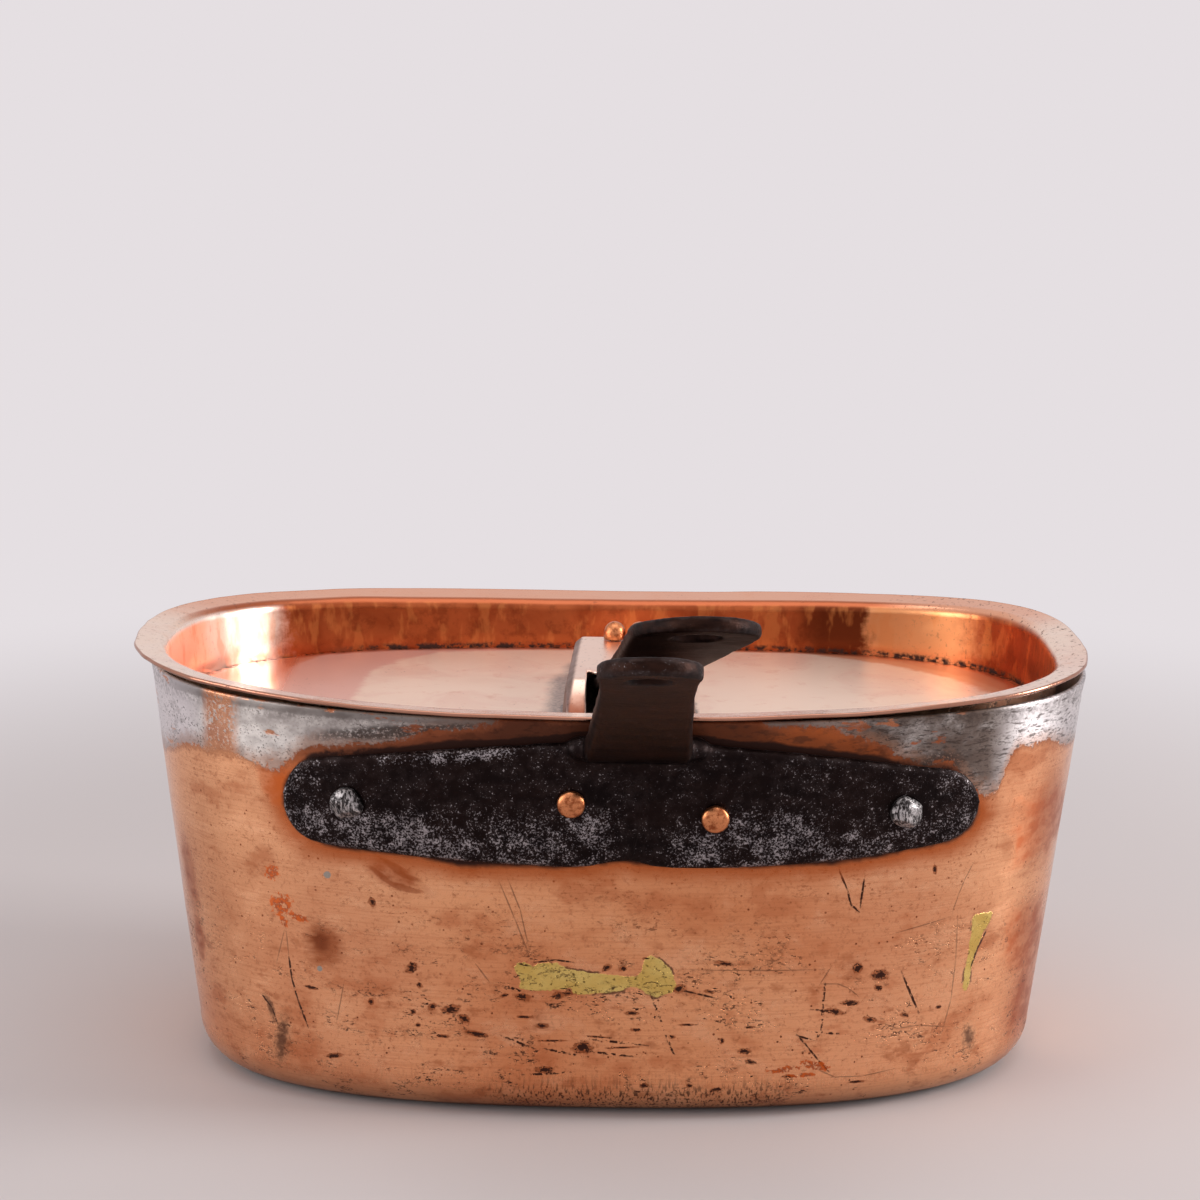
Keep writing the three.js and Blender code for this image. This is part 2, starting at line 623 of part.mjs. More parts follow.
// Cross section of the bridge under a top point; the skirts fade out where the strap comes down
function bridgeSection(top, widthAt, bottom, sheet) {
  const ground = FLOOR_TOP_Z + SEAT_GAP;
  const share = Math.max(0, (top.y - ground - BRIDGE_SHEET) / (BRIDGE_TOP_Z - ground - BRIDGE_SHEET));
  const half = lookUp(BRIDGE_HALF_WIDTHS, widthAt) - sheet;
  const side = [
    [half, top.y],
    [half + SKIRT.shoulderOut * share, top.y - SKIRT.shoulderDrop * share - 0.02],
    [half + SKIRT.footOut * share, bottom],
  ];
  return [...side, ...side.map(([x, z]) => [-x, z]).reverse()].map(
    ([x, z]) => new THREE.Vector3(BRIDGE_X + x, top.x, z),
  );
}

// The slot seen from above: parallel sides that run back into two pointed horns beside the tang
function slotCutter() {
  const half = TANG_HALF_WIDTH + SLOT_PLAY;
  const apex = SLOT_REAR_Y + SLOT_HORN.reach;
  const slot = new THREE.Shape();
  slot.moveTo(-half, SLOT_FRONT_Y);
  slot.lineTo(half, SLOT_FRONT_Y);
  slot.lineTo(half, apex);
  slot.quadraticCurveTo(half - 1, SLOT_REAR_Y, half - SLOT_HORN.width, SLOT_REAR_Y);
  slot.lineTo(SLOT_HORN.width - half, SLOT_REAR_Y);
  slot.quadraticCurveTo(1 - half, SLOT_REAR_Y, -half, apex);
  const geometry = new THREE.ExtrudeGeometry(slot, { depth: 40, bevelEnabled: false, curveSegments: 5 });
  return solid(geometry.translate(BRIDGE_X, 0, FLOOR_TOP_Z + SEAT_GAP + BRIDGE_SHEET + 0.5));
}

function lidRivetPlaces() {
  return [-1, 1].map((side) => BRIDGE_X - 0.4 + (side * LID_RIVET_SPACING) / 2);
}

function uprightPin(x, y, radius) {
  const pin = new THREE.CylinderGeometry(radius, radius, 40, 16).rotateX(Math.PI / 2);
  return solid(pin.translate(x, y, TANG_TOP_Z));
}

// Lid handle: the tang is a flat strap, the rising strap flares with slack sides to a broad round end
function lidStrapOutline() {
  const middleAt = mix(LID_STRAP_FLARE_FROM, LID_EYE.at, 0.5);
  const middleHalf = mix(TANG_HALF_WIDTH, LID_EYE.halfWidth, 0.5) - LID_STRAP_WAIST;
  const shape = new THREE.Shape();
  shape.moveTo(-TANG_HALF_WIDTH, 0);
  shape.lineTo(TANG_HALF_WIDTH, 0);
  shape.lineTo(TANG_HALF_WIDTH, LID_STRAP_FLARE_FROM);
  shape.quadraticCurveTo(middleHalf, middleAt, LID_EYE.halfWidth, LID_EYE.at);
  shape.absellipse(0, LID_EYE.at, LID_EYE.halfWidth, LID_EYE.halfLength, 0, Math.PI, false, 0);
  shape.quadraticCurveTo(-middleHalf, middleAt, -TANG_HALF_WIDTH, LID_STRAP_FLARE_FROM);
  const hole = new THREE.Path();
  const { at, halfWidth, halfLength } = LID_EYE_HOLE;
  hole.absellipse(0, at, halfWidth, halfLength, 0, 2 * Math.PI, true, 0);
  shape.holes.push(hole);
  return shape;
}

function makeLidHandle() {
  const centreZ = TANG_TOP_Z - LID_HANDLE_THICKNESS / 2;
  const tangOutline = new THREE.Shape();
  const rear = LID_HANDLE_BEND_Y - TANG_REAR_Y;
  tangOutline.moveTo(-TANG_HALF_WIDTH, 0);
  tangOutline.lineTo(-TANG_HALF_WIDTH, rear + 5);
  tangOutline.quadraticCurveTo(-TANG_HALF_WIDTH, rear, 5 - TANG_HALF_WIDTH, rear);
  tangOutline.lineTo(TANG_HALF_WIDTH - 5, rear);
  tangOutline.quadraticCurveTo(TANG_HALF_WIDTH, rear, TANG_HALF_WIDTH, rear + 5);
  tangOutline.lineTo(TANG_HALF_WIDTH, 0);
  const flat = strap(tangOutline, LID_HANDLE_THICKNESS, 0.8, 5);
  const tang = raised(flat, 0, BRIDGE_X, LID_HANDLE_BEND_Y, centreZ);
  const rising = strap(lidStrapOutline(), LID_HANDLE_THICKNESS, 0.8, 9);
  const place = rising.attributes.position;
  for (let i = 0; i < place.count; i++) {
    place.setX(i, place.getX(i) - LID_HANDLE_SKEW * place.getY(i));
  }
  raised(rising, LID_HANDLE_RISE, BRIDGE_X, LID_HANDLE_BEND_Y, centreZ);
  const elbowRadius = LID_HANDLE_THICKNESS / 2;
  const elbow = new THREE.CylinderGeometry(elbowRadius, elbowRadius, 2 * TANG_HALF_WIDTH - 1.6, 16);
  elbow.rotateZ(Math.PI / 2).translate(BRIDGE_X, LID_HANDLE_BEND_Y, centreZ);
  const whole = joined([solid(tang), solid(rising), solid(elbow)]);
  return lidRivetPlaces().reduce(
    (piece, x) => piece.subtract(uprightPin(x, LID_RIVET_Y, LID_RIVET.shank + RIVET_PLAY)),
    whole,
  );
}

function makeLidRivet(x) {
  const size = { ...LID_RIVET, inside: LID_RIVET.head - 0.4, insideHeight: LID_RIVET.tailHeight };
  const grip = {
    inside: LID_HANDLE_THICKNESS + SEAT_GAP,
    outside: BRIDGE_SHEET + 2 * SEAT_GAP,
  };
  const rivet = new THREE.LatheGeometry(rivetProfile(size, grip), 14);
  return rivet.rotateX(Math.PI / 2).translate(x, LID_RIVET_Y, TANG_TOP_Z);
}

addPiece("pot_body", geometryOf(makePotBody()), COPPER);
addPiece("pan_handle", geometryOf(makePanHandle()), IRON);
for (const rivet of PAN_RIVETS) {
  addPiece(rivet.name, makePanRivet(rivet), rivet.kind === "iron" ? WORN_IRON : RIVET_COPPER);
}
addPiece("lid_collar", makeLidCollar(), LID_COPPER);
addPiece("lid_floor", makeLidFloor(), LID_COPPER);
addPiece("lid_bridge", geometryOf(makeLidBridge()), LID_COPPER);
addPiece("lid_handle", geometryOf(makeLidHandle()), IRON);
lidRivetPlaces().forEach((x, i) => {
  addPiece(["lid_rivet_left", "lid_rivet_right"][i], makeLidRivet(x), RIVET_COPPER);
});

export default group;
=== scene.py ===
"""Looks of an old lidded copper pan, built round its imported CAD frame: copper, tin and forged iron."""

import math
from functools import partial, reduce

import bpy
import numpy as np
from bpy.props import FloatProperty, FloatVectorProperty, IntProperty, PointerProperty
from mathutils import Matrix, Vector


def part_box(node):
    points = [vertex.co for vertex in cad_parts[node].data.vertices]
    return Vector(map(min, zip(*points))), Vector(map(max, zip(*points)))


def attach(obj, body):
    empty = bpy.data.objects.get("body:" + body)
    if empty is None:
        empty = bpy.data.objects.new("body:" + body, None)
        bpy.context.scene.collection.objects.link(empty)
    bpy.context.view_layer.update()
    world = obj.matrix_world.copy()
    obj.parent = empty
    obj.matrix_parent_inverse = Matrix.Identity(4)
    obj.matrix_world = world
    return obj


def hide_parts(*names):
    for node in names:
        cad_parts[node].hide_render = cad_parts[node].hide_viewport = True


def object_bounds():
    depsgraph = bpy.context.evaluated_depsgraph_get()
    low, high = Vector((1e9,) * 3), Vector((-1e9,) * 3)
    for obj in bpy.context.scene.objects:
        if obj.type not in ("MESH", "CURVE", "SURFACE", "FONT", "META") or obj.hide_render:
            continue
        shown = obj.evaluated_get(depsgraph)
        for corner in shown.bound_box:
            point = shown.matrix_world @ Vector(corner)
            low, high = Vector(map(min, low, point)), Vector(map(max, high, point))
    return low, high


bl_info = {
    "name": "Lidded Copper Pan",
    "version": (1, 0, 0),
    "blender": (4, 5, 0),
    "location": "View3D > Sidebar > Copper Pan",
    "description": "Raised copper pan with a forged handle, riveted wings and a sunk lid",
    "category": "Object",
}

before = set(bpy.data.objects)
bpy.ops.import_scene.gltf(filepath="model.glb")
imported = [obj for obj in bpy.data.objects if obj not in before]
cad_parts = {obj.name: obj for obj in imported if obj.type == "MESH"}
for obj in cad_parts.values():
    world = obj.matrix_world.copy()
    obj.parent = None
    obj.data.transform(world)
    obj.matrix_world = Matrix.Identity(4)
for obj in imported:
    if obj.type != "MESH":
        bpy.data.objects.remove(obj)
CAD_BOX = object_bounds()
MM = 0.001
FULL_TURN = 2 * math.pi


def centre_and_half(node):
    """Middle of a CAD node's box and its half sizes, in metres."""
    low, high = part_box(node)
    return (low + high) / 2, (high - low) / 2


PAN_MIDDLE, PAN_HALF = centre_and_half("pot_body")
LID_MIDDLE, LID_HALF = centre_and_half("lid_collar")
FLOOR_LOW, FLOOR_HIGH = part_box("lid_floor")


def srgb(red, green, blue):
    """A display colour from 0 to 255 as scene-linear red, green, blue and alpha, by the sRGB curve."""
    levels = np.array([red, green, blue]) / 255
    linear = np.where(levels <= 0.04045, levels / 12.92, ((levels + 0.055) / 1.055) ** 2.4)
    return (*linear.tolist(), 1.0)


def swatch(name, description, shade):
    """A colour that a user may change."""
    return FloatVectorProperty(
        name=name, description=description, subtype="COLOR", size=4, min=0, max=1, default=srgb(*shade)
    )


def length(name, description, default):
    """A length that a user may change."""
    return FloatProperty(
        name=name, description=description, unit="LENGTH", subtype="DISTANCE", precision=4, default=default
    )


class PanShape(bpy.types.PropertyGroup):
    """Sizes of the pan that a user may want to change; the outer ones come from the frame."""

    rim_half_length: length("Rim half length", "Middle to end, over the rim", PAN_HALF.x)
    rim_half_depth: length("Rim half depth", "Middle to side, over the rim", PAN_HALF.y)
    base_half_length: length("Base half length", "Middle to end where the wall meets the ground", 0.14)
    base_half_depth: length("Base half depth", "Middle to side where the wall meets the ground", 0.0822)
    rim_rise: length("Rim rise", "How much higher the rim stands at the ends", 0.0015)
    sheet: length("Body sheet", "Thickness of the copper of the body", 0.0018)
    corner: length("Base corner", "Outer radius between underside and wall", 0.015)
    hammering: length("Hammering", "Depth of the soft hollows left by raising the sheet", 0.0002)
    columns: IntProperty(name="Columns", description="Points round the front half", default=420, min=96)


class LidShape(bpy.types.PropertyGroup):
    """Sizes of the lid that a user may want to change; the outer ones come from the frame."""

    half_length: length("Flange half length", "Middle to end of the flange", LID_HALF.x)
    half_depth: length("Flange half depth", "Middle to side of the flange", LID_HALF.y)
    sheet: length("Lid sheet", "Thickness of the copper of the lid", 0.0014)
    flange: length("Flange width", "Flange edge to where its shoulder starts", 0.0095)
    narrower: length("Flange narrowing", "How much narrower the flange is at the ends", 0.0027)
    dish: length("Flange dish", "Outer edge of the flange above its shoulder", 0.0012)
    bow: length("Flange bow", "How much the flange rises at the ends", 0.005)
    shoulder: length("Shoulder radius", "Roll between flange and collar wall", 0.004)
    taper: length("Collar taper", "How much the collar wall leans in", 0.0015)
    lip: length("Collar lip", "Inward lip that carries the floor", 0.004)
    columns: IntProperty(name="Columns", description="Points round the lid", default=600, min=96)


class Finish(bpy.types.PropertyGroup):
    """Colours of the metals."""

    body_copper: swatch("Body copper", "Rubbed orange copper of the body", (244, 174, 126))
    deep_copper: swatch("Deep copper", "Browner copper of the body", (222, 144, 98))
    lid_copper: swatch("Lid copper", "Polished pink copper of the lid", (252, 224, 202))
    # The collar wall's orange is tarnish and a painted dark reflection.
    orange_copper: swatch("Orange copper", "Tarnished copper of the collar wall", (190, 98, 56))
    tin: swatch("Tin", "Wiped tin of rim and lining", (206, 199, 194))
    iron: swatch("Iron", "Black forged iron", (32, 22, 20))
    worn_iron: swatch("Worn iron", "Iron rubbed grey", (178, 170, 172))
    brass: swatch("Brass", "Brazed patches", (220, 186, 102))


# Shapes as arrays

SEED_SHIFT, SEED_PHASE = 17.31, 19.19
AXIS_PHASES = (127.1, 311.7, 74.7)
SCATTER = 43758.5453


def value_noise(points, size, seed):
    """Smooth noise from 0 to 1, with random values on a lattice of the given size.

    A corner's value is the fraction left of a large multiple of the sine of its place times the phases.
    The values of a cell's eight corners are blended by three s squared less two s cubed on each axis,
    s being the share of the way across the cell.
    """
    place = np.asarray(points) / size + SEED_SHIFT * (seed + 1)
    cell = np.floor(place)
    part = place - cell
    part = part * part * (3 - 2 * part)
    total = 0.0
    for corner in range(8):
        step = np.array([corner & 1, corner >> 1 & 1, corner >> 2 & 1])
        spot = cell + step
        mixed = sum(spot[..., axis] * AXIS_PHASES[axis] for axis in range(3)) + seed * SEED_PHASE
        level = np.sin(mixed) * SCATTER
        level = level - np.floor(level)
        share = np.where(step == 1, part, 1 - part).prod(-1)
        total = total + share * level
    return total


def smooth_step(value, low, high):
    """0 below low, 1 above high, and between them three s squared less two s cubed for the share s."""
    share = np.clip((value - low) / (high - low), 0, 1)
    return share * share * (3 - 2 * share)


def squared_oval(angle, half_length, half_depth, squareness):
    """Half length times cosine and half depth times sine, over the n-th root of their n-th powers' sum.

    The power n, the squareness, has a mean and changes gently with the sine and cosine of the angle.
    """
    cosine = np.cos(angle)
    sine = np.sin(angle)
    mean, back, right = squareness
    power = mean + back * sine + right * cosine
    reach = (np.abs(cosine) ** power + np.abs(sine) ** power) ** (-1 / power)
    return np.stack([half_length * cosine * reach, half_depth * sine * reach], -1)


def inset_oval(angle, half_length, half_depth, squareness, inset):
    """The oval moved inwards: the tangent from two near points, turned a quarter, times the inset."""
    near = 1e-3
    before, outline, after = (
        squared_oval(angle + step, half_length, half_depth, squareness) for step in (-near, 0, near)
    )
    tangent = after - before
    tangent /= np.linalg.norm(tangent, axis=-1, keepdims=True)
    inwards = np.stack([-tangent[..., 1], tangent[..., 0]], -1)
    return outline + inwards * np.reshape(inset, (-1, 1))


def hollows(points, *layers):
    """Value noise at several sizes added up; rows are size in millimetres, share and seed."""
    return sum(share * value_noise(points, size * MM, seed) for size, share, seed in layers)


def outwards_from(grid, middle):
    """Level unit vectors away from the upright line at x = middle."""
    away = (grid - [middle, 0, 0]) * [1, 1, 0]
    return away / np.linalg.norm(away, axis=-1, keepdims=True).clip(1e-9)


def round_angles(columns):
    """Even angles once round."""
    return np.arange(columns) * FULL_TURN / columns


def circles(radius, height, columns):
    """Rows of points on level circles about z, one row for each radius and height."""
    angle = round_angles(columns)
    radius, height = np.reshape(radius, (-1, 1)), np.reshape(height, (-1, 1))
    level = height + 0 * radius * np.ones(columns)
    return np.stack([radius * np.cos(angle), radius * np.sin(angle), level], -1)


def outline_gap(across, along, outline):
    """Distance from points to a closed outline, negative inside, in the outline's own unit.

    It is the distance to the nearest point of each side; a point is inside when a line from it to the
    right crosses an odd number of sides.
    """
    corners = np.array(outline, float)
    following = np.roll(corners, -1, axis=0)
    run = following - corners
    place = np.stack([across, along], -1)[:, None]
    share = np.clip(((place - corners) * run).sum(-1) / (run**2).sum(-1), 0, 1)
    gap = np.linalg.norm(place - corners - share[..., None] * run, axis=-1).min(1)
    height = place[..., 1] - corners[:, 1]
    crosses = (corners[:, 1] > place[..., 1]) != (following[:, 1] > place[..., 1])
    at = corners[:, 0] + run[:, 0] * height / np.where(run[:, 1] == 0, 1, run[:, 1])
    inside = (crosses & (at > place[..., 0])).sum(1) % 2 == 1
    return np.where(inside, -gap, gap)


def face_list(rows, columns, wrap_rows, poles):
    """Quads between neighbouring rows and columns, columns closed round, and fans onto two poles."""
    index = np.arange(rows * columns).reshape(rows, columns)
    beside = np.roll(index, -1, axis=1)
    above, above_beside = np.roll(index, -1, axis=0), np.roll(beside, -1, axis=0)
    quads = np.stack([index, beside, above_beside, above], -1)[: rows if wrap_rows else rows - 1]
    fans = np.zeros((0, 3), int)
    if poles:
        first = np.full(columns, rows * columns)
        ends = [[first, beside[0], index[0]], [first + 1, index[-1], beside[-1]]]
        fans = np.concatenate([np.stack(end, -1) for end in ends])
    return quads.reshape(-1, 4), fans


def signed_volume(points, faces):
    """A sixth of the sum of the triple products of each face's corners, a quad taken as two halves."""
    corners = [points[faces[:, i]] for i in range(faces.shape[1])]
    pairs = zip(corners[1:-1], corners[2:])
    return sum(np.einsum("ij,ij->i", corners[0], np.cross(b, c)).sum() for b, c in pairs) / 6


def add_layer(mesh, label, values):
    """One number for each vertex, which a material reads by the label."""
    layer = mesh.attributes.new(label, "FLOAT", "POINT")
    layer.data.foreach_set("value", np.asarray(values, np.float32).ravel())


def smooth(mesh):
    """Shades all faces smooth."""
    mesh.polygons.foreach_set("use_smooth", np.ones(len(mesh.polygons), bool))


def placed(name, data):
    """A new object in the scene."""
    thing = bpy.data.objects.new(name, data)
    bpy.context.scene.collection.objects.link(thing)
    return thing


def object_from_faces(name, points, face_sets, layers):
    """A smooth mesh object with its faces turned outwards and one layer for each named array."""
    if sum(signed_volume(points, faces) for faces in face_sets if len(faces)) < 0:
        face_sets = [faces[:, ::-1] for faces in face_sets]
    mesh = bpy.data.meshes.new(name)
    mesh.from_pydata(points.tolist(), [], [face for group in face_sets for face in group.tolist()])
    smooth(mesh)
    for label, values in layers.items():
        add_layer(mesh, label, values)
    mesh.validate()
    mesh.update()
    return placed(name, mesh)


def grid_object(name, grid, layers=None, wrap_rows=False, poles=False):
    """A grid of rows and closed columns as an object; the poles are the middles of its end rows."""
    quads, fans = face_list(*grid.shape[:2], wrap_rows, poles)
    points = grid.reshape(-1, 3)
    layers = {label: np.asarray(values).ravel() for label, values in (layers or {}).items()}
    if poles:
        points = np.concatenate([points, grid[[0, -1]].mean(1)])
        layers = {label: np.append(values, values[[0, -1]]) for label, values in layers.items()}
    return object_from_faces(name, points, [quads, fans], layers)


def vertex_rows(piece, key="co"):
    """Places (co) or normals (normal) of an object's vertices, one row each."""
    values = np.empty(len(piece.data.vertices) * 3)
    piece.data.vertices.foreach_get(key, values)
    return values.reshape(-1, 3)


def neighbour_mean(values, edges, counts):
    """For each vertex, the mean of its neighbours' values, summed along the edges both ways."""
    total = np.zeros_like(values)
    for column in range(values.shape[1]):
        total[:, column] = np.bincount(edges[:, 0], values[edges[:, 1], column], len(values))
        total[:, column] += np.bincount(edges[:, 1], values[edges[:, 0], column], len(values))
    return total / counts[:, None]


def relaxed(points, edges, rounds):
    """Each round moves every vertex half way to the mean of its neighbours, which rounds the edges off."""
    counts = np.bincount(edges.ravel(), minlength=len(points)).clip(1)
    for _ in range(rounds):
        points = points + 0.5 * (neighbour_mean(points, edges, counts) - points)
    return points


def set_points(piece, points):
    """Moves an object's vertices to new places."""
    piece.data.vertices.foreach_set("co", points.ravel())
    piece.data.update()


WELD_REACH = 0.002 * MM
BROAD_ROUNDS = 26
FULL_STANDOUT = 0.5 * MM


def forged_copy(name, node, voxel, rounds, *dents):
    """The CAD solid as hot-forged iron: remeshed into even quads, its edges relaxed round, and dented.

    The dents are value noise times a depth, taken off along the normals; rows are size and depth in
    millimetres and seed. The layer edge is how far a vertex stands out from the same mesh relaxed much
    further, from -1 to 1 at the full standout; it marks the worn edges, which the iron's paint also
    lightens as a painted highlight, and the sunk places, which the bridge's paint darkens as painted shade.
    """
    piece = placed(name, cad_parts[node].data.copy())
    piece.modifiers.new("Weld", "WELD").merge_threshold = WELD_REACH
    remesh = piece.modifiers.new("Remesh", "REMESH")
    remesh.mode = "VOXEL"
    remesh.voxel_size = voxel * MM
    graph = bpy.context.evaluated_depsgraph_get()
    mesh = bpy.data.meshes.new_from_object(piece.evaluated_get(graph), depsgraph=graph)
    piece.modifiers.clear()
    piece.data = mesh
    mesh.name = name
    mesh.materials.clear()
    smooth(mesh)
    edges = np.empty(len(mesh.edges) * 2, np.int64)
    mesh.edges.foreach_get("vertices", edges)
    edges = edges.reshape(-1, 2)
    points = relaxed(vertex_rows(piece), edges, rounds)
    set_points(piece, points)
    normals = vertex_rows(piece, "normal")
    for size, depth, seed in dents:
        points = points - normals * (depth * MM * value_noise(points, size * MM, seed))[:, None]
    set_points(piece, points)
    off = points - relaxed(points, edges, BROAD_ROUNDS)
    stands_out = np.einsum("ij,ij->i", off, vertex_rows(piece, "normal"))
    add_layer(mesh, "edge", np.clip(stands_out / FULL_STANDOUT, -1, 1))
    return piece


# Node helpers

BLOT_EDGE = 0.44
STROKE_REACH = 0.56
STROKE_SOFTNESS = 0.4
FAR = 1e6
BOX_SLACK = 0.1 * MM


def tone(shade):
    """A socket or a user's colour as it is; three display levels turned into a linear colour."""
    if isinstance(shade, bpy.types.NodeSocket):
        return shade
    return srgb(*shade) if len(shade) == 3 else tuple(shade)


class Nodes:
    """A node tree of a material or world; each method adds nodes, and most return a socket."""

    def __init__(self, owner):
        owner.use_nodes = True
        self.owner, self.tree = owner, owner.node_tree
        self.tree.nodes.clear()

    def add(self, kind, inputs=None, **settings):
        """A node with its settings; its inputs are linked to sockets or set to values."""
        node = self.tree.nodes.new(kind)
        for key, value in settings.items():
            setattr(node, key, value)
        for key, value in (inputs or {}).items():
            if isinstance(value, bpy.types.NodeSocket):
                self.tree.links.new(value, node.inputs[key])
            else:
                node.inputs[key].default_value = value
        return node

    def math(self, operation, first, second=0.0):
        """One sum, product or other operation on two values."""
        return self.add("ShaderNodeMath", {0: first, 1: second}, operation=operation).outputs[0]

    def both(self, *masks):
        """The product of masks."""
        return reduce(partial(self.math, "MULTIPLY"), masks)

    def either(self, *masks):
        """The largest of masks."""
        return reduce(partial(self.math, "MAXIMUM"), masks)

    def band(self, value, low, high):
        """0 at low and 1 at high, smooth between; low above high falls instead."""
        falls = low > high
        inputs = {"Value": value, "From Min": min(low, high), "From Max": max(low, high)}
        inputs |= {"To Min": float(falls), "To Max": float(not falls)}
        settings = {"interpolation_type": "SMOOTHSTEP", "clamp": True}
        return self.add("ShaderNodeMapRange", inputs, **settings).outputs["Result"]

    def seen_ray(self):
        """1 on camera, glossy and transmission rays: what a viewer sees straight or in a mirror."""
        rays = self.add("ShaderNodeLightPath").outputs
        return self.either(*(rays[f"Is {kind} Ray"] for kind in ("Camera", "Glossy", "Transmission")))

    def show(self, kind, share, first, second):
        """Ends the tree with a blend of two shader nodes."""
        inputs = {0: share, 1: first.outputs[0], 2: second.outputs[0]}
        self.add(kind, {"Surface": self.add("ShaderNodeMixShader", inputs).outputs[0]})


class Paint(Nodes):
    """The node material of a piece, with the colour laid so far. Lengths are millimetres."""

    def __init__(self, name):
        super().__init__(bpy.data.materials.new(name))
        place = {0: self.add("ShaderNodeTexCoord").outputs["Object"], "Scale": 1 / MM}
        self.place = self.add("ShaderNodeVectorMath", place, operation="SCALE").outputs["Vector"]
        self.x, self.y, self.z = self.add("ShaderNodeSeparateXYZ", {0: self.place}).outputs
        self.colour = None

    def scale_to(self, value, low, high):
        """A 0 to 1 value carried to low to high."""
        inputs = {"Value": value, "To Min": low, "To Max": high}
        return self.add("ShaderNodeMapRange", inputs, clamp=True).outputs["Result"]

    def rest(self, share):
        """1 less a share."""
        return self.math("SUBTRACT", 1.0, share)

    def pushed(self, value, noise, amount):
        """A value moved by up to half the amount either way by a noise."""
        return self.math("ADD", value, self.math("MULTIPLY", self.math("SUBTRACT", noise, 0.5), amount))

    def moved(self, shift, stretch=(1, 1, 1)):
        """The place moved by a shift, a different way for each axis, and stretched along the axes."""
        scale = tuple(1 / along for along in stretch)
        inputs = {"Vector": self.place, "Scale": scale, "Location": (shift, 0.7 * shift, 1.3 * shift)}
        return self.add("ShaderNodeMapping", inputs).outputs["Vector"]

    def noise(self, size, detail=3.0, rough=0.55, stretch=(1, 1, 1), shift=0.0, warp=0.0):
        """Perlin noise round 0.5 whose features are about size across, stretched along the axes."""
        inputs = {"Vector": self.moved(shift, stretch), "Scale": 1 / size, "Detail": detail}
        inputs |= {"Roughness": rough, "Distortion": warp}
        return self.add("ShaderNodeTexNoise", inputs).outputs["Fac"]

    def cells(self, size, shift):
        """Distance to the nearest of scattered points, for round pits."""
        inputs = {"Vector": self.moved(shift), "Scale": 1 / size}
        return self.add("ShaderNodeTexVoronoi", inputs).outputs["Distance"]

    def layer(self, name):
        """A number that the mesh carries for each vertex."""
        return self.add("ShaderNodeAttribute", attribute_name=name).outputs["Fac"]

    def mix(self, share, first, second):
        """A blend of two colours."""
        inputs = {"Factor": share, "A": tone(first), "B": tone(second)}
        return self.add("ShaderNodeMix", inputs, data_type="RGBA").outputs["Result"]

    def blend(self, share, first, second):
        """A blend of two numbers."""
        inputs = {"Factor": share, "A": first, "B": second}
        return self.add("ShaderNodeMix", inputs, data_type="FLOAT").outputs["Result"]

    def over(self, colour, shade, *masks):
        """A shade laid over a colour by the product of masks."""
        return self.mix(self.both(*masks), colour, shade)

    def coat(self, shade, *masks):
        """Lays a shade over the colour so far by the product of masks."""
        self.colour = self.over(self.colour, shade, *masks)

    def nearness(self, rows, ragged, rag):
        """How near some ellipses in x and z are: 1 at their middles, BLOT_EDGE at their edges, 0 far off.

        Rows are x, z, half width, half height and lean in degrees. Each ellipse is a ball of gradient,
        turned by its lean and stretched far along y. The ball reaches past the ellipse, so that a ragged
        noise can move its edge out as well as in.
        """
        reach = 1 / (1 - BLOT_EDGE)
        highest = None
        for x, z, wide, high, lean in rows:
            inputs = {"Vector": self.place, "Location": (x, 0, z), "Rotation": (0, -math.radians(lean), 0)}
            inputs |= {"Scale": (reach * wide, FAR, reach * high)}
            turned = self.add("ShaderNodeMapping", inputs, vector_type="TEXTURE").outputs["Vector"]
            ball = self.add("ShaderNodeTexGradient", {"Vector": turned}, gradient_type="SPHERICAL")
            level = ball.outputs["Fac"]
            highest = level if highest is None else self.either(highest, level)
        return self.pushed(highest, ragged, rag / reach)

    def blots(self, rows, ragged, rag, soft):
        """1 inside some ellipses and 0 outside, with edges softened by a share of their size."""
        fade = soft * (1 - BLOT_EDGE)
        return self.band(self.nearness(rows, ragged, rag), BLOT_EDGE - fade, BLOT_EDGE + fade)

    def strokes(self, paths, half_width, ragged, rag):
        """Thin ellipses along the runs of some paths in x and z, each a little longer than its run."""
        rows = []
        for path in paths:
            for start, end in zip(path[:-1], path[1:]):
                run = np.subtract(end, start)
                lean = math.degrees(math.atan2(run[1], run[0]))
                half_length = STROKE_REACH * float(np.hypot(*run)) + half_width
                rows.append((*(np.add(start, end) / 2), half_length, half_width, lean))
        return self.blots(rows, ragged, rag, STROKE_SOFTNESS)

    def relief(self, *layers):
        """Bumps laid one over another; rows are a height from 0 to 1 and its depth in millimetres."""
        below = {}
        for height, depth in layers:
            inputs = {"Distance": depth * MM, "Strength": 1.0, "Height": height} | below
            below = {"Normal": self.add("ShaderNodeBump", inputs).outputs["Normal"]}
        return below

    def finish(self, metallic, roughness, relief, **constants):
        """Ends the tree with the colour laid so far and returns the material."""
        inputs = {"Base Color": self.colour, "Metallic": metallic, "Roughness": roughness} | relief
        if "Anisotropic" in constants:
            around = self.add("ShaderNodeTangent", direction_type="RADIAL", axis="Z")
            inputs["Tangent"] = around.outputs[0]
        inputs |= {key.replace("_", " "): value for key, value in constants.items()}
        shader = self.add("ShaderNodeBsdfPrincipled", inputs)
        self.add("ShaderNodeOutputMaterial", {"Surface": shader.outputs[0]})
        return self.owner


def place_piece(piece, material, body, slot, *nodes):
    """Gives a finished piece its material and its body, and hides the nodes it stands for. The slot is not
    used.
    """
    piece.data.materials.clear()
    piece.data.materials.append(material)
    low, high = np.array(CAD_BOX[0]), np.array(CAD_BOX[1])
    points = vertex_rows(piece)
    if (points.min(0) < low - BOX_SLACK).any() or (points.max(0) > high + BOX_SLACK).any():
        raise RuntimeError(f"{piece.name} stands out of the frame's box")
    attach(piece, body)
    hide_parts(*nodes)


# Pan body

